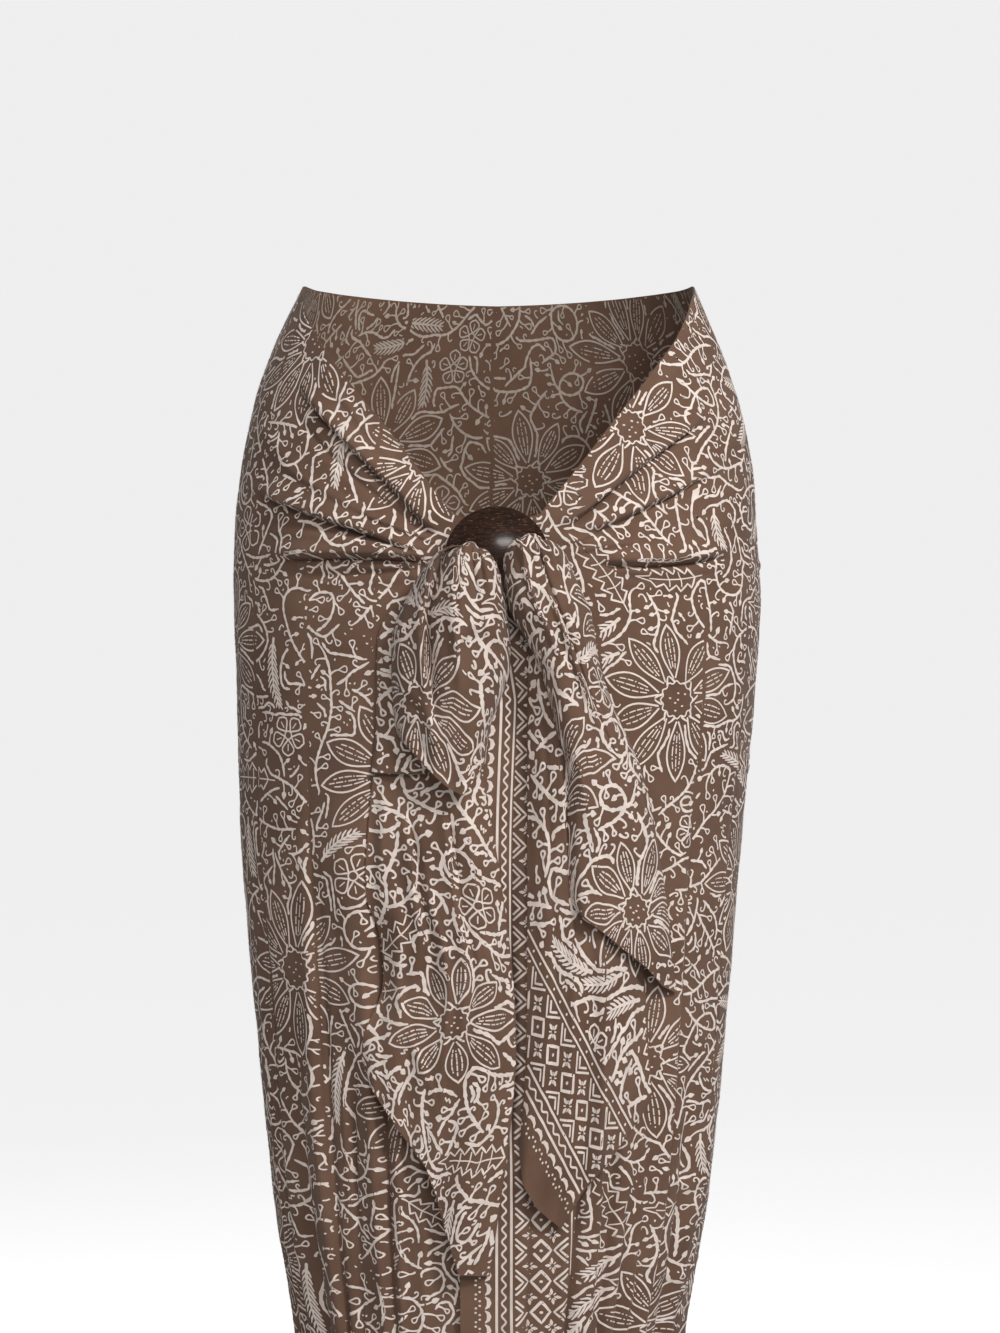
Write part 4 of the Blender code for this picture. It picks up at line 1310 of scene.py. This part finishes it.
def draw_repeat():
    """The floral repeat: daisies set at listed places, and the rest grown round them.

    Also gives how many of the strokes are flowers and leaves; they come first.
    """
    drawing = Drawing()
    for x, y, radius, petals, turn in DAISIES:
        drawing.daisy(x, y, radius, petals, math.radians(turn))
    for row in MOTIFS:
        drawing.settle(*row)
    motifs = len(drawing.strokes)
    for tries, reach, least in SPRIGS:
        for x, y, heading in drawing.starts(tries):
            drawing.sprig(x, y, heading, reach, least)
    for x, y, heading in drawing.starts(SINGLE_BUDS):
        drawing.bud(x, y, heading, 0.0)
    for _ in range(CRUMBS):
        x, y, heading = drawing.anywhere()
        kind = drawing.rng.random()
        points = next(points for share, points in CRUMB_LINES if kind < share)
        line = moved([stroke(points, LINE)], x, y, heading)[0]
        if drawing.free(line):
            drawing.draw([line])
    return drawing.strokes, motifs


# The border along the short edges; u is the distance from the edge
MOON_PERIOD = 9.2
MOON = [(16.6, -3.9), (18.4, -2.4), (19.1, 0), (18.4, 2.4), (16.6, 3.9)]
MOON_DOTS = [(10.2, -2.6), (12.9, -1.2), (12.9, 1.9), (10.4, 3.6)]
BAND_LINES = [(24.0, 1.8), (33.6, 1.7), (72.4, 1.3), (78.6, 1.5)]
BAND_DOTS_U = 75.5
WAVE_U = 28.8
WAVE_HALF = 1.4
WAVE_PERIOD = 8.2
CHEVRONS = [(36.4, 1), (69.8, -1)]
CHEVRON_SIZES = [(8.0, 8.2), (4.2, 4.4)]
DIAMOND_PERIOD = 20.5
DIAMOND_U = 53.0
DIAMOND = [(0, -7.0), (6.3, 0), (0, 7.0), (-6.3, 0), (0, -7.0)]
CROSS_OFFSET = 7.6
CROSS_LEAVES = [(1, 0.1), (-1, -0.1), (0.15, 1), (-0.15, -1)]
CROSS_DASHES = [(1, 1), (-1, 1), (1, -1), (-1, -1)]
BAND_END = 79.4
BAND_SPAN = (-200, 1000)


def border_band():
    """The woven-looking border: dots, half moons, lines, chevrons and diamonds."""
    strokes = []
    v0, v1 = BAND_SPAN

    def repeats(period):
        return np.arange(math.floor(v0 / period), math.ceil(v1 / period) + 1) * period

    def add(u, v, points, width):
        strokes.append(stroke([(u + du, v + dv) for du, dv in points], width))

    def dot(u, v, half, width):
        add(u, v, [(-half, 0), (half, 0)], width)

    for v in repeats(MOON_PERIOD):
        for u, dv in MOON_DOTS:
            dot(u, v + dv, 0.3, 1.35)
        add(0, v, MOON, (0.8, 2.3, 3.1, 2.3, 0.8))
    for u, width in BAND_LINES:
        add(u, 0, [(0, v0), (0, v1)], width)
    vs = np.arange(v0, v1, WAVE_PERIOD / 8)
    strokes.append(xy_stroke(WAVE_U + WAVE_HALF * np.sin(2 * np.pi * vs / WAVE_PERIOD), vs, 1.3))
    for v in repeats(MOON_PERIOD):
        dot(BAND_DOTS_U, v, 0.3, 1.5)
    for v in repeats(DIAMOND_PERIOD):
        for base, sign in CHEVRONS:
            for reach, half in CHEVRON_SIZES:
                add(base, v, [(0, -half), (sign * reach, 0), (0, half)], 1.4)
        add(DIAMOND_U, v, DIAMOND, 1.9)
        dot(DIAMOND_U, v, 0.4, 1.8)
        for side in (-1, 1):
            middle = (DIAMOND_U + CROSS_OFFSET * side, v + DIAMOND_PERIOD / 2)
            for du, dv in CROSS_LEAVES:
                add(*middle, [(r * du, r * dv) for r in (1.6, 3.2, 4.9)], (0.8, 2.3, 1.1))
            for du, dv in CROSS_DASHES:
                add(*middle, [(r * du, r * dv) for r in (1.1, 2.1)], 0.9)
    return strokes


# How a drawn line becomes a thin strip on the cloth
STRIP_STEP = 2.6
END_REACH = 0.36
END_WIDTH = 0.5
SHEET_MARGIN = 3


def strips(strokes):
    """Left and right points of drawn lines, and which of them go on to the next ones."""
    sides = []
    joined = []
    for line in strokes:
        line = refined(line, STRIP_STEP)
        run = np.gradient(line[:, :2], axis=0)
        run /= np.maximum(np.hypot(run[:, 0], run[:, 1]), 1e-9)[:, None]
        line = np.vstack([line[0], line, line[-1]])
        run = np.vstack([run[0], run, run[-1]])
        for end, sign in ((0, -1), (-1, 1)):
            line[end, :2] += sign * run[end] * END_REACH * line[end, 2]
            line[end, 2] *= END_WIDTH
        side = np.column_stack([-run[:, 1], run[:, 0]]) * line[:, 2:] / 2
        sides.append(np.stack([line[:, :2] + side, line[:, :2] - side], axis=1))
        joined.append(np.append(np.ones(len(line) - 1, bool), False))
    return np.concatenate(sides), np.concatenate(joined)


def kept(sides, joined, keep):
    """The strips without the points that aren't kept."""
    return sides[keep], joined[keep] & np.append(keep[1:], False)[keep]


def spread(sides, joined, low, high):
    """Copies of the strips in steps of the repeat that reach the box low to high."""
    left = sides[:, 0]
    first = np.floor((low - left.max(axis=0)) / REPEAT).astype(int)
    last = np.ceil((high - left.min(axis=0)) / REPEAT).astype(int)
    copies = []
    for i in range(first[0], last[0] + 1):
        for j in range(first[1], last[1] + 1):
            shift = np.array([i, j]) * np.array(REPEAT, float)
            near = ((left + shift > low) & (left + shift < high)).all(axis=1)
            part, part_joined = kept(sides, joined, near)
            copies.append((part + shift, part_joined))
    return [np.concatenate(part) for part in zip(*copies)]


def sheet_strips(node, sheet, floral, band):
    """The strips that lie on a sheet: the floral repeat, and the border where it has one."""
    flat = sheet.cloth.reshape(-1, 2)
    sides, joined = spread(*floral, flat.min(axis=0) - SHEET_MARGIN, flat.max(axis=0) + SHEET_MARGIN)
    if node in BORDERED:
        sides, joined = kept(sides, joined, (sides[:, :, 0] > BAND_END + 1).all(axis=1))
        sides = np.concatenate([sides, band[0]])
        joined = np.concatenate([joined, band[1]])
    return sides, joined


def print_object(name, sheet, sides, joined, material, inside=False, rows_to=None):
    """The print that lies on a face of a sheet, as strips cut where the cloth turns under."""
    flat = sides.reshape(-1, 2)
    points, normals, good = sheet.place(flat, inside, rows_to)
    good = good[0::2] & good[1::2]
    i = np.flatnonzero(joined[:-1] & good[:-1] & good[1:])
    faces = 2 * i[:, None] + [0, 2, 3, 1]
    a, b, c = (points[faces[:, k]] for k in range(3))
    over = (np.cross(b - a, c - a) * normals[2 * i]).sum(axis=1) < 0
    faces[over] = faces[over][:, ::-1]
    used, faces = np.unique(faces, return_inverse=True)
    faces = faces.reshape(-1, 4)
    flat = flat[used]
    low = flat.min(axis=0)
    uv = UV_EDGE + UV_SPAN * ((flat - low) / (flat.max(axis=0) - low))
    return make_object(name, points[used], faces, material, uv[faces.ravel()])


# Materials
WHITE = (1.0, 1.0, 1.0, 1.0)
LINE_COLOUR = (0.80, 0.685, 0.615)
REVERSE_COLOUR = (0.46, 0.38, 0.32)
STAINED = 0.86
CLOTH_DARK = (0.120, 0.067, 0.044)
CLOTH_LIGHT = (0.170, 0.097, 0.065)
SHELL_DARK = (0.010, 0.0035, 0.0015)
SHELL_LIGHT = (0.034, 0.012, 0.005)
SHELL_FLECK = (0.17, 0.085, 0.042, 1.0)


def fill(tree, node, inputs):
    """Sets the inputs of a node, and links those whose value is a socket."""
    for key, value in inputs.items():
        if isinstance(value, bpy.types.NodeSocket):
            tree.links.new(value, node.inputs[key])
        else:
            node.inputs[key].default_value = value
    return node


def new_node(tree, kind, inputs):
    return fill(tree, tree.nodes.new(kind), inputs)


def new_material(name):
    mat = bpy.data.materials.new(name)
    mat.use_nodes = True
    tree = mat.node_tree
    return mat, tree, tree.nodes["Principled BSDF"]


def object_coords(tree):
    return tree.nodes.new("ShaderNodeTexCoord").outputs["Object"]


def noise(tree, coords, scale, detail=3.0):
    inputs = {"Vector": coords, "Scale": scale, "Detail": detail, "Roughness": 0.55}
    return new_node(tree, "ShaderNodeTexNoise", inputs).outputs["Fac"]


def bump(tree, height, strength, distance, **inputs):
    inputs.update(Height=height, Strength=strength, Distance=distance)
    return new_node(tree, "ShaderNodeBump", inputs).outputs["Normal"]


def ramp(tree, value, *stops):
    node = new_node(tree, "ShaderNodeValToRGB", {"Fac": value})
    for element, (place, colour) in zip(node.color_ramp.elements, stops):
        element.position = place
        element.color = (*colour, 1.0)
    return node.outputs["Color"]


def cloth_material():
    """Matt cotton: soft mottling of the dye and a fine plain weave."""
    mat, tree, shader = new_material("dyed_cotton")
    coords = object_coords(tree)
    rough = new_node(tree, "ShaderNodeMapRange", {
        "Value": noise(tree, coords, 900.0, 2.0), "To Min": 0.78, "To Max": 0.95})
    weave = new_node(tree, "ShaderNodeTexWave", {"Vector": coords, "Scale": 700.0, "Distortion": 1.5})
    weave.bands_direction = "Z"
    threads = bump(tree, weave.outputs["Fac"], 0.25, 0.0002)
    fill(tree, shader, {
        "Base Color": ramp(tree, noise(tree, coords, 22.0, 4.0), (0.30, CLOTH_DARK), (0.70, CLOTH_LIGHT)),
        "Roughness": rough.outputs["Result"],
        "Normal": bump(tree, noise(tree, coords, 160.0, 5.0), 0.3, 0.0006, Normal=threads),
        "Sheen Weight": 0.12, "Sheen Roughness": 0.5, "Specular IOR Level": 0.25})
    return mat


def line_material(name, colour):
    """Undyed lines where the wax kept the dye off, a little uneven."""
    mat, tree, shader = new_material(name)
    stained = tuple(STAINED * part for part in colour)
    tint = ramp(tree, noise(tree, object_coords(tree), 120.0), (0.35, stained), (0.62, colour))
    fill(tree, shader, {"Base Color": tint, "Roughness": 0.85, "Specular IOR Level": 0.25})
    return mat


def shell_material():
    """Polished coconut shell: dark brown with short tan flecks along the grain."""
    mat, tree, shader = new_material("polished_shell")
    grain = new_node(tree, "ShaderNodeMapping", {
        "Vector": object_coords(tree), "Scale": (1.0, 1.0, 7.0), "Rotation": (0.0, 1.25, 0.0)})
    grain = grain.outputs["Vector"]
    base = ramp(tree, noise(tree, grain, 90.0, 4.0), (0.35, SHELL_DARK), (0.70, SHELL_LIGHT))
    flecks = ramp(tree, noise(tree, grain, 260.0, 2.0), (0.62, (0.0, 0.0, 0.0)), (0.70, (1.0, 1.0, 1.0)))
    mix = tree.nodes.new("ShaderNodeMix")
    mix.data_type = "RGBA"
    fill(tree, mix, {"Factor": flecks, "A": base, "B": SHELL_FLECK})
    fill(tree, shader, {
        "Base Color": mix.outputs["Result"], "Roughness": 0.42, "Specular IOR Level": 0.10,
        "Coat Weight": 0.5, "Coat Roughness": 0.17,
        "Normal": bump(tree, noise(tree, grain, 300.0, 3.0), 0.12, 0.0003)})
    return mat


# Buckle
DISC_CENTRE = Vector((0.0, -0.1205, -0.017))
DISC_RADIUS = 34.5 * MM
DISC_EDGE_EASE = 0.985
DISC_EDGE_ROUND = 0.5 * MM
DISC_RIM = 3.0 * MM
DISC_FRONT_RISE = 9.0 * MM
DISC_BACK_RISE = 6.5 * MM
DISC_STEPS = 22
DISC_TURNS = 128
DISC_SHARP_DEGREES = 35
HOLE_OFFSET = 16.0 * MM
HOLE_HALF_WIDTH = 8.0 * MM
HOLE_HALF_HEIGHT = 11.0 * MM
HOLE_DROP = 2.5 * MM
CUTTER_LENGTH = 0.06


def bm_object(name, bm):
    mesh = bpy.data.meshes.new(name)
    bm.to_mesh(mesh)
    bm.free()
    return link(name, mesh)


def buckle_object(material):
    """The domed disc, turned with a rounded rim, and its two oval holes."""
    shares = [i / DISC_STEPS for i in range(DISC_STEPS + 1)]
    turns = [math.radians(90 - 180 * i / 8) for i in range(1, 8)]
    edge = DISC_RADIUS * DISC_EDGE_EASE
    half = DISC_RIM / 2
    line = [(DISC_RADIUS * r * DISC_EDGE_EASE, DISC_RIM + DISC_FRONT_RISE * (1 - r * r)) for r in shares]
    line += [(edge + DISC_EDGE_ROUND * math.cos(turn), half + half * math.sin(turn)) for turn in turns]
    line += [(DISC_RADIUS * r * DISC_EDGE_EASE, DISC_BACK_RISE * (1 - r * r)) for r in shares[::-1]]
    bm = bmesh.new()
    verts = [bm.verts.new((r, 0, d)) for r, d in line]
    for a, b in zip(verts, verts[1:]):
        bm.edges.new((a, b))
    bmesh.ops.spin(bm, geom=bm.verts[:] + bm.edges[:], axis=(0, 0, 1), cent=(0, 0, 0),
                   angle=2 * math.pi, steps=DISC_TURNS, use_merge=True)
    bmesh.ops.remove_doubles(bm, verts=bm.verts, dist=0.00002)
    bmesh.ops.recalc_face_normals(bm, faces=bm.faces)
    bmesh.ops.rotate(bm, verts=bm.verts, matrix=Matrix.Rotation(math.radians(90), 3, "X"))
    bmesh.ops.translate(bm, verts=bm.verts, vec=DISC_CENTRE)
    disc = bm_object("buckle", bm)
    cutters = []
    for side in (-1, 1):
        bm = bmesh.new()
        bmesh.ops.create_cone(bm, cap_ends=True, segments=64, radius1=1, radius2=1, depth=1)
        for vert in bm.verts:
            x, y, z = vert.co
            vert.co = Vector((x * HOLE_HALF_WIDTH, z * CUTTER_LENGTH, y * HOLE_HALF_HEIGHT))
            vert.co += DISC_CENTRE + Vector((side * HOLE_OFFSET, 0, -HOLE_DROP))
        bmesh.ops.recalc_face_normals(bm, faces=bm.faces)
        modifier = disc.modifiers.new("hole", "BOOLEAN")
        modifier.operation = "DIFFERENCE"
        modifier.object = bm_object("cutter", bm)
        cutters.append(modifier.object)
    bpy.context.view_layer.update()
    depsgraph = bpy.context.evaluated_depsgraph_get()
    cut = bpy.data.meshes.new_from_object(disc.evaluated_get(depsgraph))
    disc.modifiers.clear()
    disc.data = cut
    for cutter in cutters:
        bpy.data.objects.remove(cutter, do_unlink=True)
    cut.materials.clear()
    cut.materials.append(material)
    cut.shade_smooth()
    cut.set_sharp_from_angle(angle=math.radians(DISC_SHARP_DEGREES))
    return disc


# Camera, light and floor
CAMERA_DISTANCE = 2.2
PHOTO_WIDTH_PX = 1000
METRES_PER_PX = 0.00069
CAMERA_X = 0.002
CAMERA_Z = -0.087
SENSOR = 36.0
FLOOR_Z = -1.06
FLOOR_RADIUS = 40.0
FLOOR_GREY = (0.5, 0.5, 0.5, 1.0)
FLOOR_GLOW = 0.71
WORLD_LIGHT = 0.30
BACKDROP_LIGHT = 0.86
LIGHTS = [
    # name, place, height of its aim, width and height, watts, whether the shell reflects it
    ("key", (1.5, -2.05, 1.8), -0.2, (0.7, 0.7), 70.0, False),
    ("front", (0.5, -3.0, 1.15), -0.2, (1.1, 0.45), 21.0, True),
    ("fill", (-1.8, -1.9, 0.8), -0.3, (1.4, 1.4), 5.5, False),
    ("rim", (-0.8, 2.2, 1.6), -0.2, (1.6, 1.6), 36.0, False),
]


def camera():
    data = bpy.data.cameras.new("camera")
    data.sensor_fit = "HORIZONTAL"
    data.sensor_width = SENSOR
    data.lens = SENSOR * CAMERA_DISTANCE / (PHOTO_WIDTH_PX * METRES_PER_PX)
    obj = link("camera", data)
    obj.location = (CAMERA_X, -CAMERA_DISTANCE, CAMERA_Z)
    obj.rotation_euler = (math.radians(90), 0, 0)
    bpy.context.scene.camera = obj


def stage():
    """A pale round floor and plain soft studio light."""
    mat, tree, shader = new_material("pale_floor")
    glow = tree.nodes.new("ShaderNodeMath")
    glow.operation = "MULTIPLY"
    seen = tree.nodes.new("ShaderNodeLightPath").outputs["Is Camera Ray"]
    fill(tree, glow, {0: seen, 1: FLOOR_GLOW})
    fill(tree, shader, {"Base Color": FLOOR_GREY, "Roughness": 1.0, "Specular IOR Level": 0.0,
                        "Emission Color": WHITE, "Emission Strength": glow.outputs["Value"]})
    bm = bmesh.new()
    bmesh.ops.create_circle(bm, cap_ends=True, segments=96, radius=FLOOR_RADIUS)
    floor = bm_object("floor", bm)
    floor.data.materials.append(mat)
    floor.location = (0, 0, FLOOR_Z)
    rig.stage(floor)
    world = bpy.data.worlds.new("studio")
    world.use_nodes = True
    tree = world.node_tree
    light = fill(tree, tree.nodes["Background"], {"Color": WHITE, "Strength": WORLD_LIGHT})
    backdrop = new_node(tree, "ShaderNodeBackground", {"Color": WHITE, "Strength": BACKDROP_LIGHT})
    mix = new_node(tree, "ShaderNodeMixShader", {
        "Fac": tree.nodes.new("ShaderNodeLightPath").outputs["Is Camera Ray"],
        1: light.outputs["Background"], 2: backdrop.outputs["Background"]})
    fill(tree, tree.nodes["World Output"], {"Surface": mix.outputs["Shader"]})
    bpy.context.scene.world = world
    bpy.context.scene.view_settings.view_transform = "Standard"
    for name, place, aim_z, size, watts, reflected in LIGHTS:
        data = bpy.data.lights.new(name, "AREA")
        data.shape = "ELLIPSE"
        data.size, data.size_y = size
        data.energy = watts
        obj = link(name, data)
        obj.location = place
        direction = Vector((0, 0, aim_z)) - Vector(place)
        obj.rotation_euler = direction.to_track_quat("-Z", "Y").to_euler()
        obj.visible_glossy = reflected


def flat_size(sheet):
    """Width, length and area that the cloth of a sheet has when it lies flat, in metres."""
    grid = sheet.inner
    across = np.linalg.norm(np.diff(grid, axis=1), axis=2).sum(axis=1).max()
    down = np.linalg.norm(np.diff(grid, axis=0), axis=2).sum(axis=0).max()
    diagonals = np.cross(grid[1:, 1:] - grid[:-1, :-1], grid[1:, :-1] - grid[:-1, 1:])
    return across, down, 0.5 * np.linalg.norm(diagonals, axis=2).sum()


HELD = {
    "wrap_back": ("stretched", ["cloth_front_under", "cloth_front_over"]),
    "wrap_front_under": ("draped", ["cloth_back", "buckle"]),
    "wrap_front_over": ("draped", ["cloth_front_under", "buckle"]),
    "tail_left_bundle": ("gathered", ["buckle"]),
    "tail_left_side_layer": ("hung", ["cloth_tail_left_bundle"]),
    "tail_left_fall": ("hung", ["cloth_tail_left_bundle"]),
    "tail_right_flap": ("gathered", ["buckle"]),
    "tail_right_fall": ("hung", ["cloth_tail_right_flap"]),
}
BORDERED = ("wrap_front_over", "tail_right_fall")
# Where the floral repeat starts, from the bordered edge and from the hips
FLORAL_AT = (94.0, 27.0, 0)
# Rows from the top to which the inside has its print
INSIDE_ROWS = {"wrap_back": 76, "wrap_front_under": 50, "wrap_front_over": 50}


def main():
    camera()
    stage()
    cloth = cloth_material()
    lines = line_material("undyed_lines", LINE_COLOUR)
    reverse = line_material("undyed_lines_reverse", REVERSE_COLOUR)
    sheets = build_wraps()
    front = front_map([sheets["wrap_front_under"], sheets["wrap_front_over"]])
    for name, tail in TAILS.items():
        sheets[name] = tail_sheet(name, tail, front)
    repeat, motifs = draw_repeat()
    floral = strips([line + FLORAL_AT for line in repeat])
    bold = strips([line * [1, 1, BOLDER[i >= motifs]] + FLORAL_AT for i, line in enumerate(repeat)])
    band = strips(border_band())
    for node, sheet in sheets.items():
        obj = shell_object(sheet, cloth)
        printed = sheet_strips(node, sheet, bold if node in TAILS else floral, band)
        pieces = [obj, print_object(sheet.name + "_print", sheet, *printed, lines)]
        if node in INSIDE_ROWS:
            pieces.append(print_object(sheet.name + "_print_inside", sheet, *printed, reverse,
                                       inside=True, rows_to=INSIDE_ROWS[node]))
        for piece in pieces:
            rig.ride(piece, "root")
            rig.slot(piece, "cloth")
        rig.replaces(obj, node)
        width, length, area = flat_size(sheet)
        held, rests_on = HELD[node]
        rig.sheet(obj, flat=(width, length), held=held, rests_on=rests_on, area=area,
                 with_pieces=pieces[1:])
    disc = buckle_object(shell_material())
    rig.ride(disc, "root")
    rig.replaces(disc, "shell_buckle")
    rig.slot(disc, "shell")


main()
boxes = {"cad": [list(corner) for corner in CAD_BOX], "visual": [list(corner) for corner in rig.bounds()]}
with open("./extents.json", "w") as handle:
    json.dump(boxes, handle)
